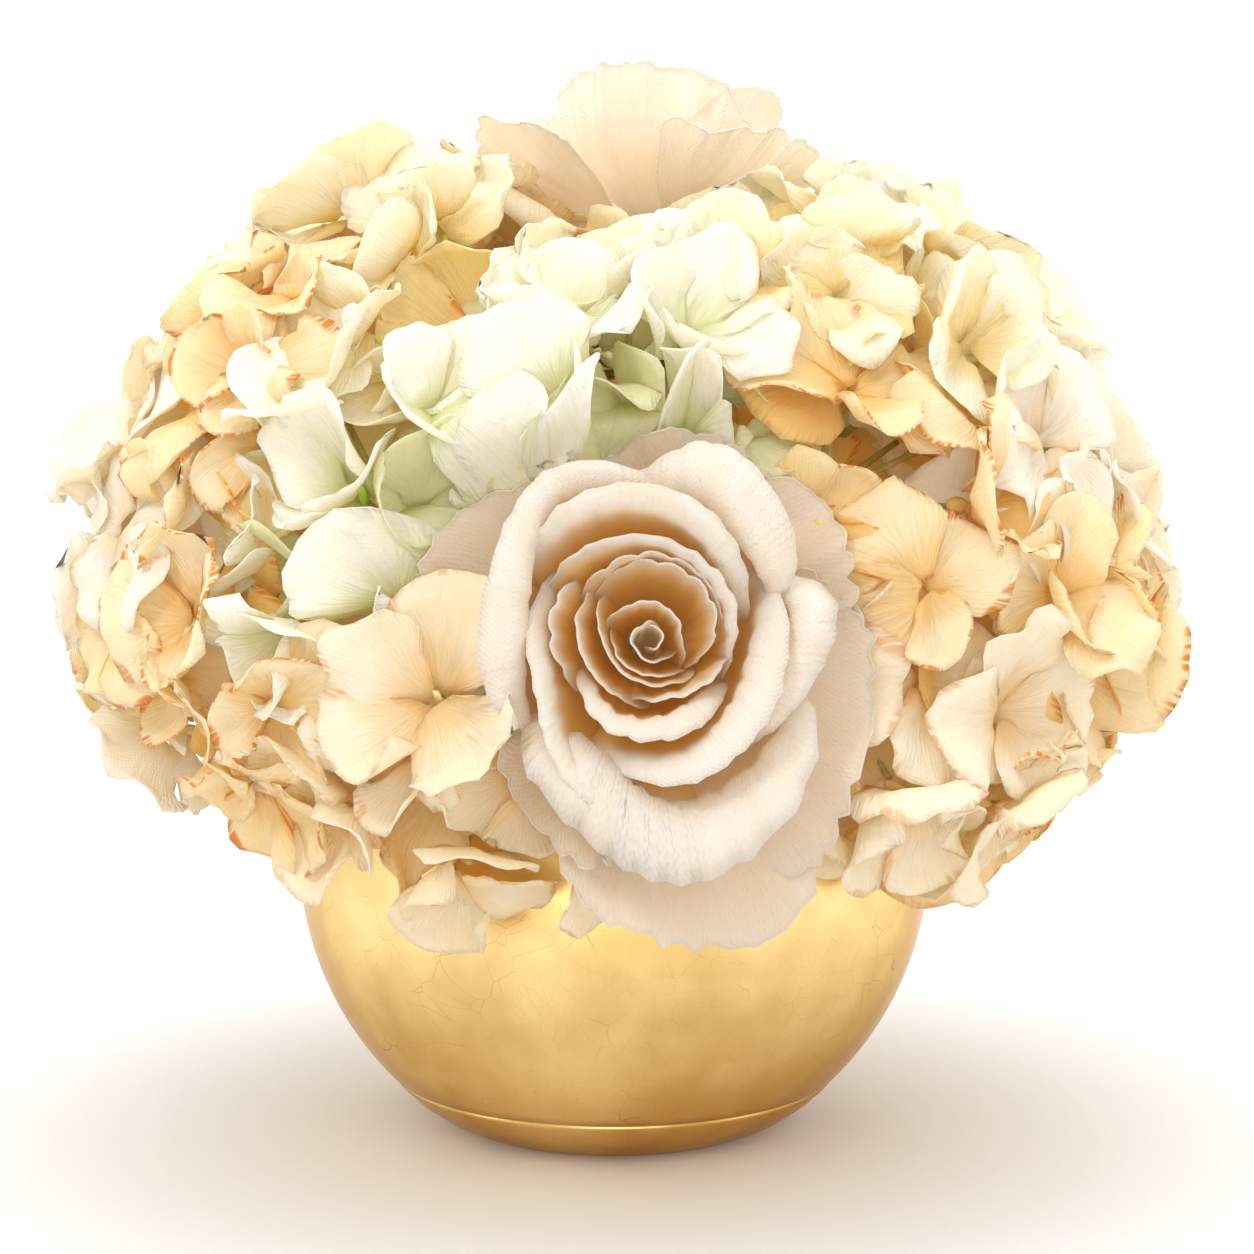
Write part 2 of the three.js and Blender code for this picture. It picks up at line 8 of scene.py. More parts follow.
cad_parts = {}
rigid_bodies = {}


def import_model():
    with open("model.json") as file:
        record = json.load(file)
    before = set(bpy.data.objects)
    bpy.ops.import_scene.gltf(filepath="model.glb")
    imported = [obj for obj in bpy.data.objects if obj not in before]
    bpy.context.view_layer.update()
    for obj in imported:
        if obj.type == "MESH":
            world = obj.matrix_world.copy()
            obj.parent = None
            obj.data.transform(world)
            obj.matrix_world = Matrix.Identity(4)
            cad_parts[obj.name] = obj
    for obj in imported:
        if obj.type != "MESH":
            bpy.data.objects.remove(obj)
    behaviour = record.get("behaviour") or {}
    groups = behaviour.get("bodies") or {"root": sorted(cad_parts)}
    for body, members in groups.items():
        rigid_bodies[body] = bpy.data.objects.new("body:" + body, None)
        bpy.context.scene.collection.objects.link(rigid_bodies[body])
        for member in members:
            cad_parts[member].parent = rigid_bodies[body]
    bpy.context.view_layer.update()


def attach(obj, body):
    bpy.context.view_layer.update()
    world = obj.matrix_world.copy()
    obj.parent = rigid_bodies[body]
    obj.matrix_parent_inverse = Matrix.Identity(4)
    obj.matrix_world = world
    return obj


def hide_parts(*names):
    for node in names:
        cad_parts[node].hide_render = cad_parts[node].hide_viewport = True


# Fabric roses and hydrangeas in a gilded bowl. Lengths in the settings are millimetres, angles degrees.

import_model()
bpy.ops.object.select_all(action="DESELECT")
mm = 0.001


# Small tools

def draw(item, use):  # a repeatable number from 0 to 1, the same as the solids were placed with
    x = math.sin(item * 12.9898 + use * 78.233) * 43758.5453
    return x - math.floor(x)


def direction(round, up):  # round from the front, towards the right, and up
    a, e = math.radians(round), math.radians(up)
    return np.array([math.sin(a) * math.cos(e), -math.cos(a) * math.cos(e), math.sin(e)])


def unit(v):
    return v / np.linalg.norm(v)


def frameAt(facing, spin):  # a turn that takes +Z to facing, after a turn about +Z
    turn = Vector((0, 0, 1)).rotation_difference(Vector(facing))
    return np.array((turn.to_matrix() @ Matrix.Rotation(math.radians(spin), 3, "Z")))


def ease(low, high, x):  # 0 below low, 1 above high, smooth between
    t = np.clip((x - low) / (high - low), 0, 1)
    return t * t * (3 - 2 * t)


def readPoints(piece):
    points = np.empty(len(piece.data.vertices) * 3)
    piece.data.vertices.foreach_get("co", points)
    return points.reshape(-1, 3)


def writePoints(piece, points):
    piece.data.vertices.foreach_set("co", np.ascontiguousarray(points, dtype=np.float32).ravel())
    piece.data.update()


def writeUv(piece, name, perVertex):
    layer = piece.data.uv_layers.get(name) or piece.data.uv_layers.new(name=name)
    corner = np.empty(len(piece.data.loops), dtype=np.int32)
    piece.data.loops.foreach_get("vertex_index", corner)
    layer.data.foreach_set("uv", np.ascontiguousarray(perVertex[corner], dtype=np.float32).ravel())


def copyOf(master, name):  # a copy with its own mesh
    made = bpy.data.objects.new(name, master.data.copy())
    bpy.context.collection.objects.link(made)
    return made


def joined(name, parts):
    bpy.ops.object.select_all(action="DESELECT")
    for part in parts:
        part.select_set(True)
    bpy.context.view_layer.objects.active = parts[0]
    if len(parts) > 1:
        bpy.ops.object.join()
    piece = bpy.context.view_layer.objects.active
    piece.name = name
    piece.data.name = name
    piece.select_set(False)
    return piece


def applyModifier(piece, kind, **settings):
    bpy.context.view_layer.objects.active = piece
    modifier = piece.modifiers.new(kind.title(), kind)
    for key, value in settings.items():
        setattr(modifier, key, value)
    bpy.ops.object.modifier_apply(modifier=modifier.name)


def triangles(piece):
    return sum(len(face.vertices) - 2 for face in piece.data.polygons)


# Material tools

def newMaterial(name):
    material = bpy.data.materials.new(name)
    material.use_nodes = True
    material.node_tree.nodes.clear()
    material.cycles.emission_sampling = "NONE"  # the painted glow only fills shade, no lamp is needed for it
    return material, material.node_tree


def addNode(tree, kind, inputs=None, **settings):
    made = tree.nodes.new("ShaderNode" + kind)
    for key, value in settings.items():
        setattr(made, key, value)
    for key, value in (inputs or {}).items():
        if isinstance(value, bpy.types.NodeSocket):
            tree.links.new(value, made.inputs[key])
        else:
            made.inputs[key].default_value = value
    return made


def maths(tree, what, a, b=0.0, c=0.0):
    return addNode(tree, "Math", {0: a, 1: b, 2: c}, operation=what).outputs[0]


def times(tree, a, b):
    return maths(tree, "MULTIPLY", a, b)


def plus(tree, a, b):
    return maths(tree, "ADD", a, b)


def eitherSide(tree, value, reach):  # a pattern from 0 to 1 made to swing about zero
    return times(tree, maths(tree, "SUBTRACT", value, 0.5), reach)


def vectors(tree, what, a, b):
    return addNode(tree, "VectorMath", {0: a, 1: b}, operation=what).outputs[0]


def lengthOf(tree, vector):
    return addNode(tree, "VectorMath", {0: vector}, operation="LENGTH").outputs["Value"]


def scaled(tree, vector, scale):
    return addNode(tree, "VectorMath", {0: vector, "Scale": scale}, operation="SCALE").outputs[0]


def stretched(tree, vector, scale):
    return addNode(tree, "Mapping", {"Vector": vector, "Scale": scale}).outputs[0]


def axesOf(tree, vector):
    return addNode(tree, "SeparateXYZ", {0: vector}).outputs


def uvOf(tree, name):
    return addNode(tree, "UVMap", uv_map=name).outputs[0]


def placeOn(tree):  # where on the piece, in metres
    return addNode(tree, "TexCoord").outputs["Object"]


def noise(tree, vector, scale, detail=0.0, roughness=0.5, output="Fac"):
    inputs = {"Vector": vector, "Scale": scale, "Detail": detail, "Roughness": roughness}
    return addNode(tree, "TexNoise", inputs).outputs[output]


def bumpOf(tree, height, distance, strength):
    return addNode(tree, "Bump", {"Height": height, "Distance": distance, "Strength": strength}).outputs[0]


def blendColours(tree, share, a, b, how="MIX"):
    a = (*a, 1) if isinstance(a, tuple) and len(a) == 3 else a
    b = (*b, 1) if isinstance(b, tuple) and len(b) == 3 else b
    made = addNode(tree, "Mix", {0: share, 6: a, 7: b}, data_type="RGBA", blend_type=how)
    return made.outputs[2]


def step(tree, value, low, high):  # 0 below low and 1 above high
    made = addNode(tree, "MapRange", {"Value": value, "From Min": low, "From Max": high})
    made.interpolation_type = "SMOOTHSTEP"
    return made.outputs[0]


def endWith(tree, shader, kind="OutputMaterial"):
    out = addNode(tree, kind)
    tree.links.new(shader.outputs[0], out.inputs[0])


# Camera, floor and light

view = {"place": (0.0, -0.9, 0.261), "down": 8.885, "round": -0.196, "lens": 109.2, "sensor": 36}


def addCamera():
    data = bpy.data.cameras.new("camera")
    data.lens = view["lens"]
    data.sensor_width = view["sensor"]
    camera = bpy.data.objects.new("camera", data)
    camera.location = view["place"]
    camera.rotation_euler = (math.radians(90 - view["down"]), 0, math.radians(view["round"]))
    bpy.context.collection.objects.link(camera)
    bpy.context.scene.camera = camera


studio = {
    "floorSize": 14.0, "floor": (0.93, 0.925, 0.92), "floorShade": 0.99, "grain": 3.0, "floorGlow": 0.07,
    "skyTop": 1.55, "skySide": 0.66, "skyFrom": (0.3, 1.0), "skySeen": 1.0,
    "lamps": {  # name: place, size, power, colour
        "frontLamp": ((0.25, -1.75, 0.62), 0.9, 6.0, (1.0, 0.985, 0.96)),
        "keyLamp": ((-0.7, -1.1, 1.25), 0.35, 6.5, (1.0, 0.985, 0.96)),
        "leftRimLamp": ((-1.15, 0.65, 0.75), 0.9, 6.5, (1.0, 0.99, 0.97)),
        "rightRimLamp": ((1.15, 0.65, 0.75), 0.9, 7.0, (1.0, 0.99, 0.97)),
        "topLamp": ((0.0, 0.25, 1.5), 1.0, 3.0, (1.0, 1.0, 1.0)),
        "leftCard": ((-1.2, -0.55, 0.2), 0.5, 1.1, (1.0, 0.97, 0.9)),
        "rightCard": ((1.2, -0.55, 0.2), 0.5, 1.1, (1.0, 0.97, 0.9)),
        "frontCard": ((-0.03, -0.55, 0.03), 0.34, 0.7, (1.0, 0.97, 0.9)),
    },
    "aim": (0.0, 0.0, 0.14),
    "missesFloor": ("frontLamp", "keyLamp"),
    "missesFloorAndBowl": ("leftRimLamp", "rightRimLamp"),
    "onlyForBowl": ("leftCard", "rightCard", "frontCard"),
}


def addFloor():
    bpy.ops.mesh.primitive_plane_add(size=studio["floorSize"])
    floor = bpy.context.active_object
    floor.name = "floor"
    material, tree = newMaterial("palePaper")
    grain = noise(tree, placeOn(tree), studio["grain"], 2.0)
    shade = tuple(studio["floorShade"] * c for c in studio["floor"])
    shader = addNode(tree, "BsdfPrincipled", {
        "Base Color": blendColours(tree, grain, studio["floor"], shade), "Roughness": 0.9,
        "Specular IOR Level": 0.1, "Emission Color": (1, 1, 1, 1), "Emission Strength": studio["floorGlow"],
    })
    endWith(tree, shader)
    floor.data.materials.append(material)
    floor.select_set(False)
    return floor


def addSky():  # brighter overhead, and plain white where the camera sees it
    world = bpy.data.worlds.new("studio")
    bpy.context.scene.world = world
    world.use_nodes = True
    tree = world.node_tree
    tree.nodes.clear()
    up = axesOf(tree, addNode(tree, "TexCoord").outputs["Generated"])["Z"]
    up = step(tree, up, *studio["skyFrom"])
    strength = maths(tree, "MULTIPLY_ADD", up, studio["skyTop"] - studio["skySide"], studio["skySide"])
    lit = addNode(tree, "Background", {"Color": (1, 1, 1, 1), "Strength": strength})
    seen = addNode(tree, "Background", {"Color": (1, 1, 1, 1), "Strength": studio["skySeen"]})
    byCamera = addNode(tree, "LightPath").outputs["Is Camera Ray"]
    both = addNode(tree, "MixShader", {0: byCamera, 1: lit.outputs[0], 2: seen.outputs[0]})
    endWith(tree, both, "OutputWorld")


def addLamps(floor):
    body = bpy.data.objects["bowlBody"]
    groups = {}
    for kind, pieces in (("missesFloor", [floor]), ("missesFloorAndBowl", [floor, body]), ("onlyForBowl", [body])):
        groups[kind] = bpy.data.collections.new(kind)
        for piece in pieces:
            groups[kind].objects.link(piece)
        for entry in groups[kind].collection_objects:
            entry.light_linking.link_state = "INCLUDE" if kind == "onlyForBowl" else "EXCLUDE"
    for name, (place, size, power, colour) in studio["lamps"].items():
        lamp = bpy.data.lights.new(name, "AREA")
        lamp.shape = "DISK"
        lamp.size, lamp.energy, lamp.color = size, power, colour
        holder = bpy.data.objects.new(name, lamp)
        holder.location = place
        away = Vector(studio["aim"]) - Vector(place)
        holder.rotation_euler = away.to_track_quat("-Z", "Y").to_euler()
        bpy.context.collection.objects.link(holder)
        for kind, group in groups.items():
            if name in studio[kind]:
                holder.light_linking.receiver_collection = group


def addStudio():
    floor = addFloor()
    addSky()
    addLamps(floor)
    bpy.context.scene.view_settings.view_transform = "Standard"


# The bowl

bowl = {
    "radius": 76.0, "centreHeight": 65.8, "wall": 4.0, "rimHeight": 92.0, "floor": 5.0, "pole": 0.01,
    "foot": [(0.01, 0.0), (34.0, 0.0), (36.5, 0.25), (38.0, 0.7), (43.0, 2.9), (49.0, 7.1), (52.6, 10.6),
             (53.25, 11.35), (53.45, 11.7), (53.35, 12.0), (53.2, 12.3)],
    "aboveFoot": 0.4, "lipHigh": 1.6, "lipRound": 0.7, "lipSteps": (0.12, 0.3, 0.5, 0.7, 0.88),
    "bodySteps": 30, "insideSteps": 16, "turns": 144, "weld": 0.03,
}
leaf = {  # tones, then scale of each pattern, where it begins and ends, and how much of it shows
    "pale": (1.0, 0.76, 0.33), "deep": (0.64, 0.355, 0.07), "line": (0.42, 0.20, 0.04),
    "tint": (0.62, 0.45, 0.28, 1.0), "warpScale": 30.0, "warp": 0.03,
    "patchScale": 22.0, "patchFrom": (0.35, 0.68), "patchShare": 0.6, "paintedShadeLowFrom": (0.034, 0.004), "paintedShadeLowShare": 0.55,
    "fibreStretch": (60.0, 60.0, 420.0), "fibreHigh": 0.0001, "fibreShare": 0.5,
    "maskScale": 55.0, "wideLines": (120.0, 0.012, 0.42, 0.62), "fineLines": (260.0, 0.016, 0.55, 0.4),
    "fineShare": 0.6, "lineShare": 0.45, "roughness": (0.22, 0.2),
    "glazeScale": 24.0, "glazeHigh": 0.0005, "glazeShare": 0.25, "coat": 0.45, "coatRoughness": 0.07,
}


def sphereArc(radius, fromHeight, toHeight, steps):
    a, b = (math.asin((h - bowl["centreHeight"]) / radius) for h in (fromHeight, toHeight))
    turns = [a + (b - a) * i / steps for i in range(steps + 1)]
    return [(radius * math.cos(t), bowl["centreHeight"] + radius * math.sin(t)) for t in turns]


def leafLines(tree, place, mask, scale, width, low, high):  # seams between patches of leaf
    edge = addNode(tree, "TexVoronoi", {"Vector": place, "Scale": scale}, feature="DISTANCE_TO_EDGE")
    return times(tree, step(tree, edge.outputs[0], width, 0.0), step(tree, mask, low, high))


def goldLeaf():
    material, tree = newMaterial("goldLeafGlazed")
    place = placeOn(tree)
    warp = noise(tree, place, leaf["warpScale"], 1.0, output="Color")
    bent = vectors(tree, "ADD", place, scaled(tree, vectors(tree, "SUBTRACT", warp, (0.5, 0.5, 0.5)), leaf["warp"]))

    patches = noise(tree, place, leaf["patchScale"], 3.0, 0.6)
    fibres = noise(tree, stretched(tree, place, leaf["fibreStretch"]), 1.0, 2.0)
    mask = noise(tree, place, leaf["maskScale"])
    fine = times(tree, leafLines(tree, bent, mask, *leaf["fineLines"]), leaf["fineShare"])
    lines = maths(tree, "MAXIMUM", leafLines(tree, bent, mask, *leaf["wideLines"]), fine)
    # painted shade: the leaf darkens towards the foot, where the bowl mirrors the shadowed floor
    low = times(tree, step(tree, axesOf(tree, place)["Z"], *leaf["paintedShadeLowFrom"]), leaf["paintedShadeLowShare"])
    worn = times(tree, step(tree, patches, *leaf["patchFrom"]), leaf["patchShare"])
    colour = blendColours(tree, plus(tree, worn, low), leaf["pale"], leaf["deep"])
    colour = blendColours(tree, times(tree, lines, leaf["lineShare"]), colour, leaf["line"])

    glaze = noise(tree, place, leaf["glazeScale"], 1.0)
    shader = addNode(tree, "BsdfPrincipled", {
        "Base Color": colour, "Metallic": 1.0, "Specular Tint": leaf["tint"],
        "Roughness": maths(tree, "MULTIPLY_ADD", patches, *leaf["roughness"]),
        "Normal": bumpOf(tree, fibres, leaf["fibreHigh"], leaf["fibreShare"]),
        "Coat Weight": leaf["coat"], "Coat Roughness": leaf["coatRoughness"],
        "Coat Normal": bumpOf(tree, glaze, leaf["glazeHigh"], leaf["glazeShare"]),
    })
    endWith(tree, shader)
    return material


def addBowl():
    body = sphereArc(bowl["radius"], bowl["foot"][-1][1] + bowl["aboveFoot"], bowl["rimHeight"], bowl["bodySteps"])
    inside = sphereArc(bowl["radius"] - bowl["wall"], bowl["rimHeight"], bowl["floor"], bowl["insideSteps"])
    (a, h), (b, _) = body[-1], inside[0]
    lip = [(a - (a - b) * s, h + bowl["lipHigh"] * math.sin(math.pi * s) ** bowl["lipRound"]) for s in bowl["lipSteps"]]
    profile = bowl["foot"] + body + lip + inside + [(bowl["pole"], bowl["floor"])]

    bpy.ops.mesh.primitive_plane_add(size=0.01)
    piece = bpy.context.active_object
    piece.name = piece.data.name = "bowlBody"
    bpy.ops.object.mode_set(mode="EDIT")
    bpy.ops.mesh.merge(type="CENTER")
    bpy.ops.transform.translate(value=(profile[0][0] * mm, 0, profile[0][1] * mm))
    for (r0, z0), (r1, z1) in zip(profile, profile[1:]):
        move = ((r1 - r0) * mm, 0, (z1 - z0) * mm)
        bpy.ops.mesh.extrude_vertices_move(TRANSFORM_OT_translate={"value": move})
    bpy.ops.mesh.select_all(action="SELECT")
    bpy.ops.mesh.spin(steps=bowl["turns"], angle=math.tau, center=(0, 0, 0), axis=(0, 0, 1))
    bpy.ops.mesh.select_all(action="SELECT")
    bpy.ops.mesh.remove_doubles(threshold=bowl["weld"] * mm)
    bpy.ops.mesh.normals_make_consistent(inside=False)
    bpy.ops.object.mode_set(mode="OBJECT")
    piece.data.shade_smooth()
    piece.data.materials.append(goldLeaf())
    piece.select_set(False)
    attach(piece, "root")
    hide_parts("bowl")
    print("bowl:", triangles(piece), "triangles")


# Foam and stems

greens = {  # two tones, scale of the mottle, roughness
    "dryFoam": ((0.10, 0.095, 0.035), (0.20, 0.16, 0.06), 900.0, 0.95),
    "wrappedStem": ((0.36, 0.36, 0.08), (0.60, 0.56, 0.20), 260.0, 0.6),
}


def plantMaterial(name):
    dark, light, scale, roughness = greens[name]
    material, tree = newMaterial(name)
    mottle = noise(tree, placeOn(tree), scale, 5.0, 0.7)
    shader = addNode(tree, "BsdfPrincipled", {
        "Base Color": blendColours(tree, step(tree, mottle, 0.3, 0.7), dark, light),
        "Roughness": roughness, "Normal": bumpOf(tree, mottle, 0.0006, 0.6),
    })
    endWith(tree, shader)
    return material


def dressPlainNodes():
    foam, stem = plantMaterial("dryFoam"), plantMaterial("wrappedStem")
    for piece in bpy.data.objects:
        if piece.type == "MESH" and piece.name == "floral_foam":
            piece.data.materials[0] = foam
        elif piece.type == "MESH" and piece.name.startswith("stem_"):
            piece.data.materials[0] = stem
    return stem


# Fabric

fabrics = {  # five tones, then how much stain is on the edge, how much root tone is painted as shade on petals deep in the dome, and the root's reach
    "green": {"body": (0.95, 0.945, 0.85), "tone": (0.975, 0.972, 0.92), "root": (0.78, 0.80, 0.36),
              "edge": (0.94, 0.93, 0.80), "nub": (0.38, 0.62, 0.04),
              "edgeShare": 0.1, "paintedDomeShadeShare": 0.45, "rootReach": 0.55},
    "yellow": {"body": (0.965, 0.905, 0.66), "tone": (0.975, 0.955, 0.84), "root": (0.93, 0.74, 0.24),
               "edge": (0.95, 0.88, 0.64), "nub": (0.60, 0.68, 0.10),
               "edgeShare": 0.15, "paintedDomeShadeShare": 0.6, "rootReach": 0.62},
    "white": {"body": (0.96, 0.915, 0.80), "tone": (0.975, 0.955, 0.91), "root": (0.92, 0.76, 0.50),
              "edge": (0.94, 0.78, 0.50), "nub": (0.85, 0.72, 0.40),
              "edgeShare": 0.2, "paintedDomeShadeShare": 0.5, "rootReach": 0.45},
    "amber": {"body": (0.94, 0.77, 0.41), "tone": (0.96, 0.88, 0.65), "root": (0.92, 0.61, 0.16),
              "edge": (0.80, 0.34, 0.06), "nub": (0.80, 0.52, 0.16),
              "edgeShare": 0.95, "paintedDomeShadeShare": 0.8, "rootReach": 0.62},
    "cream": {"body": (0.95, 0.85, 0.62), "tone": (0.965, 0.915, 0.78), "root": (0.92, 0.67, 0.28),
              "edge": (0.84, 0.45, 0.12), "nub": (0.84, 0.62, 0.26),
              "edgeShare": 0.55, "paintedDomeShadeShare": 0.7, "rootReach": 0.52},
}
# a painted glow: emission that stands in for light bounced between the petals
cloth = {"thread": 0.62, "translucent": 0.38, "roughness": 0.72, "paintedGlow": 0.09}
petalLook = {  # scales of the patterns, where each tone begins and ends, and how much of it shows
    "fanMiddle": 0.12, "fanScale": 9.0, "streakApart": 40.0, "streakScale": 3.8, "cloudApart": 23.0, "cloudScale": 3.2,
    # painted shade deep in the dome and on under-layer florets, painted light on the dome's outside
    "paintedDomeShadeFrom": (0.86, 0.68), "paintedLightFrom": (0.82, 0.98), "paintedLightShare": 0.5, "palePick": 0.62, "cloudShare": 0.9,
    "rootSwing": 0.5, "rootShare": 0.8, "paintedUnderShadeFrom": (0.2, 0.0), "paintedUnderShadeShare": 0.5, "rimSwing": 0.28,
    "stainFrom": (0.455, 0.512), "stainOften": (0.1, 0.6), "stainStreaks": (0.3, 0.55), "glow": (1.0, 0.93, 0.76),
    "streakHigh": 0.9, "weaveHigh": 0.08, "high": 0.0012, "bump": 0.4,
}


def weave(tree, flat):  # height of a plain weave, from a map in centimetres
    axes = axesOf(tree, scaled(tree, flat, math.tau * 10 / cloth["thread"] / 2))
    return times(tree, maths(tree, "SINE", axes["X"]), maths(tree, "SINE", axes["Y"]))


def fabricShader(tree, colour, glow, normal, glowStrength):
    # the emission is a painted glow in the cloth's own tone, standing in for bounced light
    shader = addNode(tree, "BsdfPrincipled", {
        "Base Color": colour, "Roughness": cloth["roughness"], "Normal": normal, "Specular IOR Level": 0.0,
        "Emission Color": glow, "Emission Strength": glowStrength,
    })
    through = addNode(tree, "BsdfTranslucent", {"Color": glow, "Normal": normal})
    endWith(tree, addNode(tree, "MixShader", {0: cloth["translucent"], 1: shader.outputs[0], 2: through.outputs[0]}))


def petalMaterial(name, tones):
    look = petalLook
    material, tree = newMaterial(name)
    place = uvOf(tree, "petal")
    pick = axesOf(tree, uvOf(tree, "pick"))
    middle = vectors(tree, "SUBTRACT", place, (0.5, 0.5, 0.0))
    axes = axesOf(tree, middle)
    along = plus(tree, axes["Y"], 0.5)

    # streaks fan out from the root
    fan = maths(tree, "ARCTAN2", axes["X"], plus(tree, along, look["fanMiddle"]))
    fan = addNode(tree, "CombineXYZ", {
        0: times(tree, fan, look["fanScale"]), 1: along, 2: times(tree, pick["X"], look["streakApart"]),
    })
    streaks = noise(tree, fan.outputs[0], look["streakScale"])
    shifted = addNode(tree, "CombineXYZ", {2: times(tree, pick["X"], look["cloudApart"])}).outputs[0]
    cloud = noise(tree, vectors(tree, "ADD", place, shifted), look["cloudScale"])

    # painted shade and light: petals deep in the dome take the root's tone as painted shade, those on its outside are
    # paler as painted light
    fromMiddle = vectors(tree, "SUBTRACT", placeOn(tree), tuple(dome["centre"] * mm))
    share = lengthOf(tree, vectors(tree, "DIVIDE", fromMiddle, tuple(dome["reach"] * mm)))
    paintedDomeShade = times(tree, step(tree, share, *look["paintedDomeShadeFrom"]), tones["paintedDomeShadeShare"])
    # a random tone per floret; under-layer florets, whose pick is 0, come out darker as painted shade
    picked = maths(tree, "SUBTRACT", pick["Y"], look["palePick"])
    pale = maths(tree, "MULTIPLY_ADD", step(tree, share, *look["paintedLightFrom"]), look["paintedLightShare"], picked)
    body = maths(tree, "MULTIPLY_ADD", cloud, look["cloudShare"], pale)
    body = blendColours(tree, body, tones["body"], tones["tone"])
    fromRoot = plus(tree, along, eitherSide(tree, streaks, look["rootSwing"]))
    rootToneAndPaintedShade = times(tree, step(tree, fromRoot, tones["rootReach"], 0.0), look["rootShare"])
    # under-layer florets, whose pick is 0, take the root tone: painted shade
    paintedUnderShade = times(tree, step(tree, pick["Y"], *look["paintedUnderShadeFrom"]), look["paintedUnderShadeShare"])
    rootToneAndPaintedShade = maths(tree, "MAXIMUM", maths(tree, "MAXIMUM", rootToneAndPaintedShade, paintedDomeShade), paintedUnderShade)
    colour = blendColours(tree, rootToneAndPaintedShade, body, tones["root"])

    rim = plus(tree, lengthOf(tree, middle), eitherSide(tree, cloud, look["rimSwing"]))
    often = times(tree, step(tree, pick["X"], *look["stainOften"]), tones["edgeShare"])
    stained = times(tree, step(tree, rim, *look["stainFrom"]), often)
    stained = times(tree, stained, step(tree, streaks, *look["stainStreaks"]))
    colour = blendColours(tree, stained, colour, tones["edge"])
    glow = blendColours(tree, 1.0, colour, look["glow"], "MULTIPLY")

    woven = times(tree, weave(tree, uvOf(tree, "cloth")), look["weaveHigh"])
    relief = maths(tree, "MULTIPLY_ADD", streaks, look["streakHigh"], woven)
    fabricShader(tree, colour, glow, bumpOf(tree, relief, look["high"], look["bump"]), cloth["paintedGlow"])
    return material


def beadMaterial(name, colour):
    material, tree = newMaterial(name)
    mottle = noise(tree, placeOn(tree), 420.0, 3.0)
    lighter = tuple(min(1.0, c * 1.35 + 0.05) for c in colour)
    shader = addNode(tree, "BsdfPrincipled", {
        "Base Color": blendColours(tree, mottle, colour, lighter), "Roughness": 0.55,
        "Normal": bumpOf(tree, mottle, 0.0004, 0.4),
    })
    endWith(tree, shader)
    return material


# Hydrangea petals, each kind modelled once

petalKinds = {  # length, width, claw, rise, bend to the tip, curl of each side, ruffle, waves, ragged, crease
    "open": (26, 27, 0.62, 6, 10, 22, 20, 0.7, 5, 0.025, 0.6),
    "cupped": (25, 28, 0.64, 10, 46, 55, 50, 0.6, 4, 0.02, 0.3),
    "blown": (27, 29, 0.6, 24, -52, -20, 28, 1.0, 5, 0.03, 0.5),
    "wavy": (26, 30, 0.6, 8, -14, 30, -24, 1.7, 6, 0.045, 0.4),
    "folded": (26, 27, 0.6, 14, 14, 84, 78, 0.8, 4, 0.03, 1.6),
    "rolled": (25, 29, 0.6, 12, 20, 175, 30, 0.5, 3, 0.02, 0.4),
    "long": (29, 24, 0.55, 6, -22, 34, 30, 0.9, 4, 0.03, 0.9),
    "shell": (25, 30, 0.64, 2, 66, 34, 40, 0.9, 7, 0.035, 0.2),
    "turned": (26, 27, 0.62, 16, -95, 14, 18, 0.8, 5, 0.03, 0.5),
}
petalMix = {  # which kinds a head draws from
    "green": ["open", "cupped", "cupped", "shell", "long", "open", "folded", "blown"],
    "yellow": ["cupped", "shell", "open", "cupped", "long", "wavy"],
    "white": ["open", "wavy", "blown", "open", "shell", "turned"],
    "amber": ["open", "wavy", "shell", "rolled", "blown", "cupped", "turned", "folded"],
    "cream": ["wavy", "open", "folded", "shell", "rolled", "blown", "turned"],
}
petalShape = {
    "grid": 8, "steps": 60, "edgeTurns": ((5, 0.5), (9, 0.35), (15, 0.3)), "edge": 1.5, "clawTo": 0.62,
    "bendPower": 1.4, "curlPower": 1.3, "flatTo": (0.02, 0.6), "ruffle": 1.4, "creaseWidth": 0.14, "dimple": 0.5,
}


def arcTable(angles, steps):  # how far along and how high a strip gets that turns by these angles
    a = np.radians(angles)
    return np.concatenate([[0], np.cumsum(np.cos(a)) / steps]), np.concatenate([[0], np.cumsum(np.sin(a)) / steps])


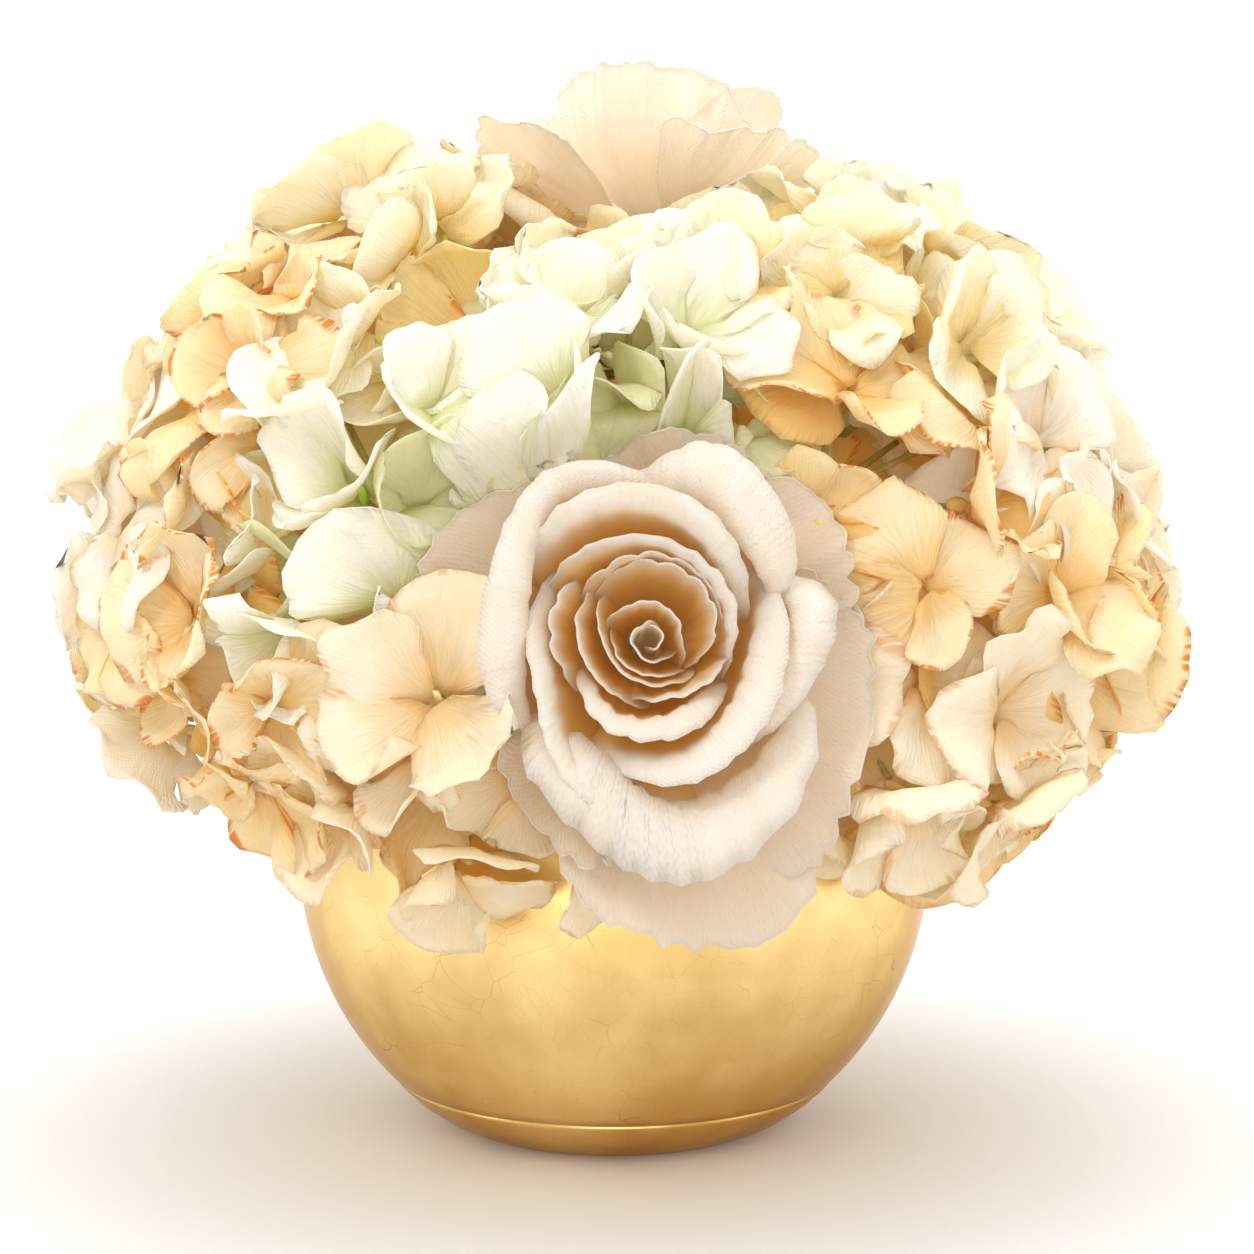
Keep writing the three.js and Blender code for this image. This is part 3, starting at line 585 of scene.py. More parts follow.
def makePetal(name, kind, number):
    made = petalShape
    long, wide, claw, rise, bend, left, right, ruffle, waves, ragged, crease = petalKinds[kind]
    bpy.ops.mesh.primitive_grid_add(x_subdivisions=made["grid"], y_subdivisions=made["grid"], size=2)
    piece = bpy.context.active_object
    piece.name = piece.data.name = name
    piece.data.uv_layers[0].name = "petal"
    a, b = readPoints(piece).T[:2]
    x, y = a * np.sqrt(1 - b * b / 2), b * np.sqrt(1 - a * a / 2)  # the square grid becomes a disc
    writeUv(piece, "petal", np.stack([x, y], 1) * 0.5 + 0.5)

    round, out = np.arctan2(x, y), np.hypot(x, y)
    phase = [math.tau * draw(number, use) for use in range(5)]
    rag = sum(np.sin(turns * round + phase[i]) * much for i, (turns, much) in enumerate(made["edgeTurns"]))
    grow = 1 + made["edge"] * ragged * rag * out ** 2
    along = (y * grow + 1) / 2
    across = x * grow * (claw + (1 - claw) * ease(0.0, made["clawTo"], along))
    writeUv(piece, "cloth", np.stack([across * wide / 20, along * long / 10], 1))

    steps = made["steps"]
    t = (np.arange(steps) + 0.5) / steps
    knots = np.arange(steps + 1) / steps
    reach, climb = arcTable(rise + bend * t ** made["bendPower"], steps)
    px = np.interp(along, knots, reach) * long
    pz = np.interp(along, knots, climb) * long
    tilt = np.radians(rise + bend * np.clip(along, 0, 1) ** made["bendPower"])
    side, up = np.zeros_like(x), np.zeros_like(x)
    for sign, curl in ((-1, left), (1, right)):
        flat, high = arcTable(curl * t ** made["curlPower"], steps)
        here = across * sign > 0
        side[here] = sign * np.interp(np.abs(across[here]), knots, flat) * wide / 2
        up[here] = np.interp(np.abs(across[here]), knots, high) * wide / 2
    weight = ease(*made["flatTo"], along)
    side = side * weight + across * wide / 2 * (1 - weight)
    up = up * weight
    up += made["ruffle"] * ruffle * out ** 3 * np.sin(waves * round + phase[3]) * weight
    up -= crease * np.exp(-(across / made["creaseWidth"]) ** 2) * np.sin(np.pi * np.clip(along, 0, 1))
    up += made["dimple"] * np.sin(3.1 * x + phase[4]) * np.sin(4.3 * y + phase[0]) * weight
    writePoints(piece, np.stack([px - up * np.sin(tilt), side, pz + up * np.cos(tilt)], 1) * mm)
    piece.select_set(False)
    return piece


# Where the florets sit

dome = {"centre": np.array([0.0, 0.0, 127.0]), "reach": np.array([136.0, 125.0, 116.0])}
heads = {  # colour, where it faces, florets listed one by one
    "green_left": ("green", (-31, 17), [(-32, 21), (-22, 19), (-40, 19), (-22, 31), (-37, 31), (-34, 11),
        (-24, 8)]),
    "green_centre": ("green", (2, 39), [(-12, 25), (-6, 33), (0, 27), (9, 31), (10, 42), (19, 38), (3, 51),
        (26, 52), (-8, 45)]),
    "yellow_left": ("yellow", (-28, 54), [(-23, 47), (-36, 42), (-16, 40), (-14, 55), (-46, 62), (-52, 52),
        (-26, 66)]),
    "amber_top_left": ("amber", (-58, 35), [(-55, 45), (-50, 34), (-48, 24), (-62, 30), (-69, 41)]),
    "white_left": ("white", (-74, 13), [(-63, 22), (-64, 12), (-54, 13), (-77, 20), (-78, 6)]),
    "amber_left": ("amber", (-46, -4), [(-62, 1), (-50, 3), (-41, 4), (-50, -10), (-36, -5), (-30, 1),
        (-60, -9)]),
    "cream_front_left": ("cream", (-20, -17), [(-19, -4), (-13, -12), (-28, -12), (-33, -20), (-18, -25),
        (-9, -20), (-24, -18)]),
    "amber_right": ("amber", (32, 24), [(20, 29), (31, 34), (41, 37), (27, 24), (37, 26), (43, 19), (32, 17),
        (33, 9), (42, 12)]),
    "yellow_right": ("yellow", (52, 50), [(52, 54), (46, 46), (70, 51), (66, 42), (31, 46), (54, 38),
        (42, 60)]),
    "white_right": ("white", (66, 22), [(60, 33), (59, 24), (52, 17), (68, 18), (75, 28), (78, 12)]),
    "amber_lower_right": ("amber", (60, -2), [(54, 6), (68, 4), (62, -5), (52, -2), (58, -13), (76, -4)]),
    "cream_front_right": ("cream", (36, -12), [(37, 1), (45, -8), (33, -16), (30, -8), (46, -20), (28, 0),
        (25, -22)]),
    "cream_back_right": ("cream", (105, -2), []),
    "amber_back_right": ("amber", (150, 2), []),
    "white_back": ("white", (-165, -2), []),
    "amber_back_left": ("amber", (-120, -2), []),
    "green_back_right": ("green", (110, 38), []),
    "yellow_back": ("yellow", (175, 38), []),
    "cream_back_left": ("cream", (-115, 38), []),
}
moreFlorets = [  # smaller ones that fill in between
    (-13, 31), (-2, 39), (15, 46), (-30, 26), (-16, 22), (-45, 27), (-30, 36), (-20, 60), (-41, 54), (-60, 38),
    (-57, 26), (-70, 15), (-46, 8), (-35, 4), (-55, -4), (-25, 3), (-22, -11), (-14, -19), (-27, -22),
    (25, 32), (36, 32), (47, 28), (26, 18), (38, 8), (60, 47), (38, 48), (60, 14), (47, 22), (52, 26),
    (49, 13), (66, 27), (66, -2), (48, 2), (36, -3), (40, -14), (52, -15), (-6, 25),
]
scatter = {
    "spacing": 16.7, "byHand": 0.64, "lattice": 1500, "centreShare": 0.68, "share": 0.805, "wobble": 0.72,
    "extraSpacing": 7.2, "fillSpacing": 9.0, "fillLattice": 900, "fillLower": 0.02, "sparseLeft": (-0.7, -0.13),
    "underSpacing": 12.5, "underShare": 0.70, "underSeed": 1000, "throat": 1.2, "deep": 0.05,
    "lowestFront": -27, "lowest": -21, "frontTo": 0.6, "roseOut": 30,
    "topRoseShy": 0.22, "shyUp": (48, 60), "shyFront": (-0.3, 0.0), "shySide": (38, 24), "shyMost": 0.45,
    "size": (1.0, 0.86, 0.98), "sideFrom": 0.7, "sideMore": 0.1, "sizeFrom": 0.92, "sizeMore": 0.18,
}
overTheRose = [(-19, -4), (-13, -12)]  # these lie on the rose's outer petals, the others under them

roses = {
    # each rose's glow is painted light, and its deep sets how much painted shade fills its inner rings; the top rose's
    # fabric is a brighter copy, painted light: a stronger glow and little shade
    "rose_front": {"seat": np.array([7.0, -78.0, 127.0]), "facing": (1, 13), "size": 1.0, "spread": 17,
                   "number": 300, "deep": 1.0, "paintedGlow": 0.05, "fabric": "roseFabric",
                   "bloom": "frontRoseBloom", "green": "frontRoseGreen"},
    "rose_top": {"seat": np.array([8.0, 20.0, 213.0]), "facing": (170, 74), "size": 0.82, "spread": 13,
                 "number": 400, "deep": 0.15, "paintedGlow": 0.22, "fabric": "topRoseFabricPaintedLight",
                 "bloom": "topRoseBloom", "green": "topRoseGreen"},
}


def domePoint(aim, share):
    return aim * dome["reach"] * share + dome["centre"]


def openTo(aim):  # above the bowl and clear of the roses
    atFront = math.cos(math.atan2(aim[0], -aim[1])) > scatter["frontTo"]
    lowest = scatter["lowestFront"] if atFront else scatter["lowest"]
    if aim[2] < math.sin(math.radians(lowest)):
        return False
    for rose in roses.values():
        bloom = rose["seat"] + direction(*rose["facing"]) * scatter["roseOut"]
        towards = unit((bloom - dome["centre"]) / dome["reach"])
        if math.acos(np.clip(aim @ towards, -1, 1)) <= math.radians(rose["spread"]):
            return False
    return True


def spiral(count):
    golden = math.pi * (3 - math.sqrt(5))
    for i in range(count):
        up = 1 - 2 * (i + 0.5) / count
        flat = math.sqrt(1 - up * up)
        yield np.array([flat * math.cos(golden * i), flat * math.sin(golden * i), up])


def layOutFlorets():
    laid = []

    def add(aim, spacing, layer):
        left, low = scatter["sparseLeft"]
        if not openTo(aim) or (layer < 2 and aim[0] < left and aim[2] < low):
            return
        if laid and max(f["aim"] @ aim for f in laid) > math.cos(math.radians(spacing)):
            return
        laid.append({"aim": aim, "seed": len(laid) + 1, "layer": layer, "over": False})

    for _, _, placed in heads.values():
        for angles in placed:
            add(direction(*angles), scatter["spacing"] * scatter["byHand"], 2)
            if angles in overTheRose:
                laid[-1]["over"] = True
    for aim in spiral(scatter["lattice"]):
        add(aim, scatter["spacing"], 2)
    for angles in moreFlorets:
        add(direction(*angles), scatter["extraSpacing"], 1)
    for aim in spiral(scatter["fillLattice"]):
        add(aim, scatter["fillSpacing"], 1)
    above, laid = laid, []
    for aim in spiral(scatter["fillLattice"]):
        add(aim, scatter["underSpacing"], 0)
    for f in laid:
        f["seed"] += scatter["underSeed"]
    laid = above + laid

    names = list(heads)
    aims = np.array([direction(*heads[name][1]) for name in names])
    for f in laid:
        seed, aim, layer = f["seed"], f["aim"], f["layer"]
        near = int((aims @ aim).argmax())
        f["head"] = names[near]
        share = scatter["underShare"] if layer == 0 else scatter["share"] - scatter["fillLower"] * (layer == 1)
        up, front = math.degrees(math.asin(aim[2])), -aim[1]
        sideways = abs(aim[0] * dome["reach"][0] * share - roses["rose_top"]["seat"][0])
        shy = ease(*scatter["shyUp"], up) * ease(*scatter["shyFront"], front)
        f["beforeTop"] = float(shy * ease(*scatter["shySide"], sideways))
        share -= scatter["topRoseShy"] * f["beforeTop"]
        f["point"] = domePoint(aim, share + scatter["deep"] * (draw(seed, 30) - 0.5))
        away = unit(f["point"] - domePoint(aims[near], scatter["centreShare"]))
        wobble = np.array([draw(seed, 31) - 0.5, draw(seed, 32) - 0.5, draw(seed, 33) - 0.5])
        f["facing"] = unit(away + aim + scatter["wobble"] * wobble)
        f["spin"] = 90 * draw(seed, 34)
        size = scatter["size"][layer] + scatter["sideMore"] * (layer == 0) * (abs(aim[0]) > scatter["sideFrom"])
        f["size"] = size * (scatter["sizeFrom"] + scatter["sizeMore"] * draw(seed, 35))
    return [f for f in laid if f["layer"] == 2 or f["beforeTop"] < scatter["shyMost"]]


# What lies over what: the surface is kept as heights above the middle of the dome

cover = {
    "step": 0.7, "gap": 1.2, "mostLift": 8.0, "mostDrop": 22.0, "softness": 0.85, "noLid": 1000.0, "nudge": 0.8,
}


def startCover():
    rows = int(180 / cover["step"])
    middles = (np.arange(rows) + 0.5) * cover["step"] - 90
    cover["counts"] = np.maximum(1, np.round(360 * np.cos(np.radians(middles)) / cover["step"])).astype(int)
    cover["starts"] = np.concatenate([[0], np.cumsum(cover["counts"])[:-1]])
    cover["top"] = np.zeros(cover["counts"].sum())
    cover["lid"] = np.full(cover["counts"].sum(), cover["noLid"])


def cellsOf(out):  # out: unit directions from the middle of the dome
    up = np.degrees(np.arcsin(np.clip(out[:, 2], -1, 1))) + 90
    row = np.clip((up / cover["step"]).astype(int), 0, len(cover["counts"]) - 1)
    turn = (np.arctan2(out[:, 1], out[:, 0]) / math.tau) % 1.0
    return cover["starts"][row] + np.minimum((turn * cover["counts"][row]).astype(int), cover["counts"][row] - 1)


def fineWeights(columns, rows, fine):  # from a grid's corners to points spread over its faces
    def along(n):
        t = np.linspace(0, n, fine)
        low = np.minimum(t.astype(int), n - 1)
        w = np.zeros((fine, n + 1))
        w[np.arange(fine), low] = 1 - (t - low)
        w[np.arange(fine), low + 1] = t - low
        return w
    return np.kron(along(rows), along(columns))


def record(points, asLid=False):
    out = points - dome["centre"]
    far = np.linalg.norm(out, axis=1)
    out = out / far[:, None]
    nudge = math.radians(cover["step"]) * cover["nudge"]
    for shift in np.concatenate([np.zeros((1, 3)), np.eye(3), -np.eye(3)]):
        moved = out + nudge * shift
        cells = cellsOf(moved / np.linalg.norm(moved, axis=1)[:, None])
        np.maximum.at(cover["top"], cells, far)
        if asLid:
            np.minimum.at(cover["lid"], cells, far)


def settled(points, spread, over):
    out = points - dome["centre"]
    far = np.linalg.norm(out, axis=1)
    out = out / far[:, None]
    cells = cellsOf(out)
    lack = np.clip(cover["top"][cells] + cover["gap"] - far, 0, cover["mostLift"])
    under = (not over) & (cover["lid"][cells] < cover["noLid"])
    lack = np.where(under, 0, lack)
    lift = (spread * lack).max(1)
    if not over:
        drop = np.clip(far + lift + cover["gap"] - cover["lid"][cells], 0, cover["mostDrop"])
        lift = lift - (spread * drop).max(1)
    return points + out * lift[:, None]


def spreadOf(flat, reach):  # how far the lift of one point carries its neighbours along
    apart = np.linalg.norm(flat[:, None] - flat[None], axis=2)
    return np.clip(1 - (apart / reach) ** 2, 0, 1) ** 2


# The roses

rosePetalGrid = (34, 14)
# Petals of the front rose from the middle out: height, lip radius, lip turn, pucker, whether it is a big
# outer petal, and its edge seen from the front as [angle, radius], where 0 is to the right and 90 is up.
frontRosePetals = [
    (39.0, 0.8, 30, 0.0, 0, [(-150, 2.0), (-60, 2.4), (30, 2.6), (120, 2.2), (180, 2.0)]),
    (39.5, 1.2, 50, 0.0, 0, [(30, 4.4), (120, 4.2), (210, 4.0), (300, 4.2), (345, 5.0)]),
    (39.0, 1.7, 44, 0.0, 0, [(-36, 9.4), (-10, 7.6), (17, 7.0), (58, 7.4), (90, 7.8), (113, 7.9), (146, 8.8),
        (166, 9.9)]),
    (38.5, 1.5, 40, 0.0, 0, [(158, 9.4), (194, 8.4), (235, 7.6), (279, 7.2), (325, 8.4)]),
    (41.0, 1.7, 44, 0.0, 0, [(-34, 10.2), (-4, 13.3), (17, 14.6), (39, 15.4), (59, 15.7), (81, 15.8),
        (101, 16.3), (117, 15.6), (142, 14.6)]),
    (40.5, 1.6, 40, 0.0, 0, [(132, 15.2), (154, 13.2), (180, 10.4), (206, 9.6), (230, 9.2), (268, 9.2),
        (300, 9.8), (331, 10.8)]),
    (41.5, 1.9, 48, 0.0, 0, [(-6, 16.0), (30, 16.6), (60, 17.3), (90, 17.8), (120, 17.4), (150, 17.2)]),
    (40.6, 2.0, 50, 0.0, 0, [(136, 17.4), (166, 16.6), (190, 15.0), (225, 13.6), (250, 13.2), (270, 13.0)]),
    (40.2, 2.2, 60, 0.0, 0, [(245, 13.8), (270, 13.2), (300, 13.6), (330, 15.0), (358, 16.2)]),
    (42.2, 3.2, 74, 0.05, 0, [(-26, 18.1), (0, 18.3), (25, 19.6), (46, 19.6), (68, 20.1), (90, 21.2),
        (113, 22.2), (131, 23.4), (146, 24.0), (160, 23.4)]),
    (41.4, 2.4, 60, 0.0, 0, [(138, 21.6), (165, 21.8), (185, 20.6), (204, 18.6), (214, 17.6)]),
    (39.8, 4.8, 100, 0.08, 0, [(199, 17.2), (212, 18.6), (224, 19.9), (242, 21.6), (258, 21.6), (277, 21.4),
        (295, 20.8), (314, 19.6), (334, 17.6)]),
    (43.0, 5.6, 102, 0.08, 0, [(14, 22.4), (24, 23.2), (34, 24.8), (47, 26.4), (63, 28.7), (79, 30.4),
        (97, 32.0), (113, 32.8), (128, 32.8), (143, 31.6), (154, 30.4)]),
    (38.6, 5.6, 100, 0.1, 0, [(142, 26.5), (162, 26.3), (173, 27.0), (189, 26.2), (206, 26.7), (218, 29.0),
        (231, 32.3), (243, 35.2), (257, 37.1), (270, 37.8), (280, 37.0), (288, 34.8)]),
    (38.4, 6.6, 108, 0.12, 0, [(-120, 26.0), (-111, 27.9), (-96, 30.0), (-83, 31.5), (-70, 31.7),
        (-54, 30.4), (-29, 29.0), (-7, 28.0), (14, 28.4), (29, 28.0), (36, 26.6)]),
    (37.6, 5.4, 128, 0.05, 1, [(78, 32.6), (88, 34.4), (103, 38.5), (111, 40.6), (121, 41.9), (129, 41.4),
        (140, 39.1), (155, 36.3), (173, 35.3), (186, 35.5), (199, 35.6), (207, 34.7), (216, 31.6)]),
    (39.0, 6.6, 134, 0.04, 1, [(18, 30.4), (23, 33.0), (31, 35.9), (41, 38.2), (53, 40.0), (63, 42.1),
        (72, 42.6), (79, 41.4), (86, 38.0), (96, 34.6)]),
    (34.5, 5.0, 150, 0.04, 1, [(-46, 31.0), (-38, 32.2), (-24, 34.0), (-11, 35.8), (0, 37.9), (10, 39.2),
        (16, 38.8), (22, 35.4), (28, 31.4)]),
    (31.5, 9.2, 136, 0.8, 1, [(212, 33.0), (218, 35.2), (226, 38.0), (237, 40.4), (249, 42.8), (257, 45.6),
        (266, 48.7), (274, 50.8), (282, 51.8), (290, 50.8), (301, 48.4), (313, 45.5), (325, 42.0),
        (334, 38.6), (342, 34.6)]),
    (21.5, 2.5, 40, 0.0, 2, [(52, 43.0), (55, 44.1), (63, 47.7), (70, 48.4), (79, 46.6), (90, 43.9),
        (99, 41.8), (108, 39.0)]),
    (19.5, 2.0, 26, 0.0, 2, [(4, 44.6), (10, 46.3), (19, 47.6), (28, 48.8), (38, 48.4), (47, 46.9),
        (56, 44.2), (64, 41.0)]),
    (20.0, 2.0, 24, 0.0, 2, [(110, 39.0), (121, 42.4), (129, 45.8), (139, 48.6), (150, 50.0), (162, 50.4),
        (173, 49.8), (181, 51.0), (190, 49.4), (202, 45.6)]),
    (20.5, 2.5, 34, 0.0, 2, [(-62, 57.0), (-55, 61.0), (-47, 58.6), (-38, 53.6), (-30, 51.0), (-19, 50.2),
        (-7, 48.4), (3, 48.8), (13, 45.6), (21, 41.0), (28, 36.0)]),
    (18.5, 2.0, 22, 0.1, 2, [(244, 46.0), (249, 51.0), (256, 57.3), (262, 61.8), (268, 61.9), (275, 65.0),
        (283, 65.2), (291, 67.0), (297, 65.4), (305, 62.4), (312, 55.0)]),
    (21.0, 2.0, 30, 0.0, 2, [(208, 35.0), (214, 38.4), (224, 41.4), (236, 45.8), (245, 47.6), (252, 49.0),
        (259, 46.6), (266, 42.0)]),
]
# Petals of the top rose: [angle, span, rim radius, height, lip radius, lip turn, pleat, big outer petal]
topRosePetals = [
    [20, 330, 3.4, 34.0, 1.2, 12, 0.0, 0], [200, 230, 6.4, 36.0, 1.4, 16, 0.0, 0],
    [60, 190, 11.0, 39.0, 1.8, 26, 0.0, 0], [180, 190, 11.5, 39.0, 1.8, 26, 0.0, 0],
        [300, 190, 11.4, 39.0, 1.8, 26, 0.0, 0],
    [20, 175, 17.4, 41.0, 2.2, 36, 0.1, 0], [140, 175, 18.0, 42.0, 2.4, 36, 0.1, 0],
        [260, 175, 17.6, 41.0, 2.2, 36, 0.1, 0],
    [75, 165, 25.0, 42.0, 3.0, 48, 0.1, 0], [195, 165, 25.6, 42.0, 3.0, 48, 0.1, 0],
        [315, 165, 25.0, 41.0, 3.0, 48, 0.1, 0],
    [-96, 118, 36.0, 40.0, 2.4, 34, 1.5, 1], [-22, 104, 38.0, 34.0, 4.6, 84, 0.3, 1],
        [52, 104, 40.0, 33.0, 5.6, 110, 0.1, 1], [132, 110, 40.0, 33.0, 5.2, 100, 0.1, 1],
    [-160, 82, 52.0, 24.0, 2.5, 34, 0.2, 2], [-52, 70, 46.0, 24.0, 1.5, 20, 0.3, 2],
        [0, 78, 53.0, 22.0, 2.5, 34, 0.2, 2], [75, 84, 51.0, 19.0, 1.0, 14, 0.1, 2],
]
roseCloth = {  # a list holds the values for inner, outer and guard petals
    "root": 3.5, "spiral": 0.9, "thickness": 0.36, "cut": (0.34, 0.3, 0.2), "wave": (0.0, 0.3, 2.8),
    "ragged": 0.34, "raggedBy": (1.0, 0.9, 3.2), "pleatRag": 0.6, "tallRag": 0.25, "turnBy": (0.85, 1, 1),
    "lipBy": (1.15, 1, 1), "lipFrom": 0.72, "leastLip": 0.3, "funnel": 0.76, "bellyHigh": (0.5, 0.28, 0.28),
    "bellyMost": 36.0, "guardBelly": 33.0, "floor": 2, "smoothings": 14, "opensBy": 0.55, "opensFrom": 0.3,
}


def rosePetals(name):
    if name == "rose_front":
        rows = [(*shape, 0.0, ring, edge) for *shape, ring, edge in frontRosePetals]
    else:
        rows = []
        for angle, span, rim, height, lip, turn, pleat, ring in topRosePetals:
            edge = [(angle + span * t / 2, rim * (1 - 0.06 * t * t)) for t in (-1, -0.5, 0, 0.5, 1)]
            rows.append((height, lip, turn, 0.05, pleat, ring, edge))
    keys = ("height", "lip", "lipTurn", "pucker", "pleat", "ring", "edge")
    return [dict(zip(keys, row)) for row in rows]


def rosePetalPoints(petal, number):  # a petal on its own grid, in millimetres, round the rose's axis
    columns, rows = rosePetalGrid
    u, s = np.meshgrid(np.linspace(-1, 1, columns + 1), np.linspace(0, 1, rows + 1))
    u, s = u.ravel(), s.ravel()
    ring, height = petal["ring"], petal["height"]
    turns, radii = np.array(petal["edge"]).T
    phase = [math.tau * draw(number, use) for use in range(40, 46)]
    strides = np.hypot(np.diff(turns) * math.pi / 180 * radii[1:], np.diff(radii))
    lengths = np.concatenate([[0], np.cumsum(strides)])
    knots = 2 * lengths / lengths[-1] - 1
    fine = np.linspace(-1, 1, 121)
    round, edge = np.interp(fine, knots, turns), np.interp(fine, knots, radii)
    for _ in range(roseCloth["smoothings"]):
        round[1:-1] = (round[:-2] + 2 * round[1:-1] + round[2:]) / 4
        edge[1:-1] = (edge[:-2] + 2 * edge[1:-1] + edge[2:]) / 4
    round, edge = np.interp(u, fine, round), np.interp(u, fine, edge)
    wide = lengths[-1]

    rag = np.abs(np.sin(wide * 0.22 * u + phase[0])) * 1.5 - 0.9 + np.sin(wide * 0.5 * u + phase[1]) * 0.5
    rag = rag + np.sin(wide * 0.93 * u + phase[2]) * 0.3
    pleatRag = 1 + roseCloth["pleatRag"] * petal["pleat"]
    edge = edge + roseCloth["ragged"] * rag * roseCloth["raggedBy"][ring] * pleatRag
    tip = 1 - roseCloth["cut"][ring] * np.abs(u) ** 3.2
    tall = height * tip + roseCloth["tallRag"] * rag * (ring < 2) * (1 + petal["pleat"])
    sideways = np.abs(u) ** 5
    flare = np.radians(petal["lipTurn"] * roseCloth["turnBy"][ring])
    flare = flare * (1 + 0.1 * np.sin(2.3 * u + phase[3])) * (1 - 0.35 * sideways)
    lip = petal["lip"] * roseCloth["lipBy"][ring] * (1 + 0.12 * np.sin(3.1 * u + phase[4])) * (1 - 0.45 * sideways)
    belly = (edge * roseCloth["funnel"], np.minimum(edge, roseCloth["bellyMost"]),
             np.full_like(edge, roseCloth["guardBelly"]))[ring]
    bellyHigh = roseCloth["bellyHigh"][ring] * height
    base, floor = min(roseCloth["root"], float(edge.mean()) * 0.2), roseCloth["floor"]

    rim = edge - lip * (1 - np.cos(flare))
    for _ in range(3):
        heading = np.arctan2(tall - floor - bellyHigh, rim - belly)
        turn = np.maximum(heading - (math.pi / 2 - flare), roseCloth["leastLip"])
        rim = edge - lip * (np.sin(heading) - np.sin(heading - turn))
    v = np.minimum(1, s / roseCloth["lipFrom"])
    roll = np.clip((s - roseCloth["lipFrom"]) / (1 - roseCloth["lipFrom"]), 0, 1) * turn
    root, bulge, top = (1 - v) ** 2, 2 * v * (1 - v), v * v
    r = root * base + bulge * belly + top * rim + lip * (np.sin(heading) - np.sin(heading - roll))
    z = floor + bulge * bellyHigh + top * (tall - floor) + lip * (np.cos(heading - roll) - np.cos(heading))

    puckers = np.sin(wide * 0.36 * u + 3 * np.sin(5 * u + phase[5])) * ease(0.5, 0.8, s) * petal["pucker"]
    pleats = np.sin(wide * 0.30 * u + 2 * np.sin(3 * u + phase[5])) * ease(0.1, 0.6, s) * petal["pleat"]
    wave = roseCloth["wave"][ring]
    r = r + puckers * 0.7 + pleats + wave * v ** 2 * 0.4 * np.sin(4 * u + phase[3])
    z = z + puckers + wave * v ** 3 * (np.sin(4.2 * u + phase[5]) + 0.5 * np.sin(9 * u + phase[2]))
    least = roseCloth["opensFrom"]
    open = least + (1 - least) * np.sin((math.pi / 2) * np.minimum(1, v / roseCloth["opensBy"]))
    middle = (turns[0] + turns[-1]) / 2
    angle = np.radians(middle + (round - middle) * open)
    out = r + roseCloth["spiral"] * u * v
    points = np.stack([out * np.cos(angle), out * np.sin(angle), z], 1)
    flat = np.stack([u * wide / 20, s * (height * 1.1 + petal["lip"]) / 10], 1)
    return points, np.stack([u * 0.5 + 0.5, s], 1), flat


roseLook = {  # tones, then scales, where each begins and ends, and how much of it shows
    # the deep tone is painted shade, filling the lower part of the petals on the inner rings
    "ivory": (0.92, 0.88, 0.825), "cream": (0.91, 0.85, 0.755), "deep": (0.93, 0.64, 0.20), "glow": (1.0, 0.935, 0.82),
    "apart": 31.0, "cloudScale": 0.9, "cloudFrom": (0.35, 0.65), "paintedShadeSwing": 0.15, "paintedShadeFrom": (0.88, 0.46),
    "creaseStretch": (4.2, 0.7, 1.0), "creaseScale": 1.2, "creaseHigh": 0.7, "weaveHigh": 0.10,
    "wrinkleStretch": (9.0, 1.1, 1.0), "lipFrom": (0.66, 0.86), "wrinkleHigh": 0.8, "high": 0.0013, "bump": 0.5,
    "paintedShadeByRing": (1.0, 0.42, 0.22), "paintedShadeBud": 0.35,
}


def roseMaterial(rose):
    look = roseLook
    material, tree = newMaterial(rose["fabric"])
    height = axesOf(tree, uvOf(tree, "petal"))["Y"]
    flat = uvOf(tree, "cloth")
    pick = axesOf(tree, uvOf(tree, "pick"))
    shifted = addNode(tree, "CombineXYZ", {2: times(tree, pick["X"], look["apart"])}).outputs[0]
    spread = vectors(tree, "ADD", flat, shifted)
    cloud = noise(tree, spread, look["cloudScale"], 1.0, 0.6)
    creases = noise(tree, stretched(tree, spread, look["creaseStretch"]), look["creaseScale"], 2.0, 0.6)
    wrinkles = noise(tree, stretched(tree, spread, look["wrinkleStretch"]), 1.0)

    ivory = blendColours(tree, step(tree, cloud, *look["cloudFrom"]), look["ivory"], look["cream"])
    # painted shade: the deep tone fills each petal's lower part, as much as its pick allows
    paintedShadeDepth = plus(tree, height, eitherSide(tree, cloud, look["paintedShadeSwing"]))
    deep = times(tree, step(tree, paintedShadeDepth, *look["paintedShadeFrom"]), pick["Y"])
    colour = blendColours(tree, deep, ivory, look["deep"])
    glow = blendColours(tree, 1.0, colour, look["glow"], "MULTIPLY")

    onLip = times(tree, wrinkles, step(tree, height, *look["lipFrom"]))
    woven = times(tree, weave(tree, flat), look["weaveHigh"])
    relief = maths(tree, "MULTIPLY_ADD", creases, look["creaseHigh"], woven)
    relief = maths(tree, "MULTIPLY_ADD", onLip, look["wrinkleHigh"], relief)
    fabricShader(tree, colour, glow, bumpOf(tree, relief, look["high"], look["bump"]), rose["paintedGlow"])
    return material


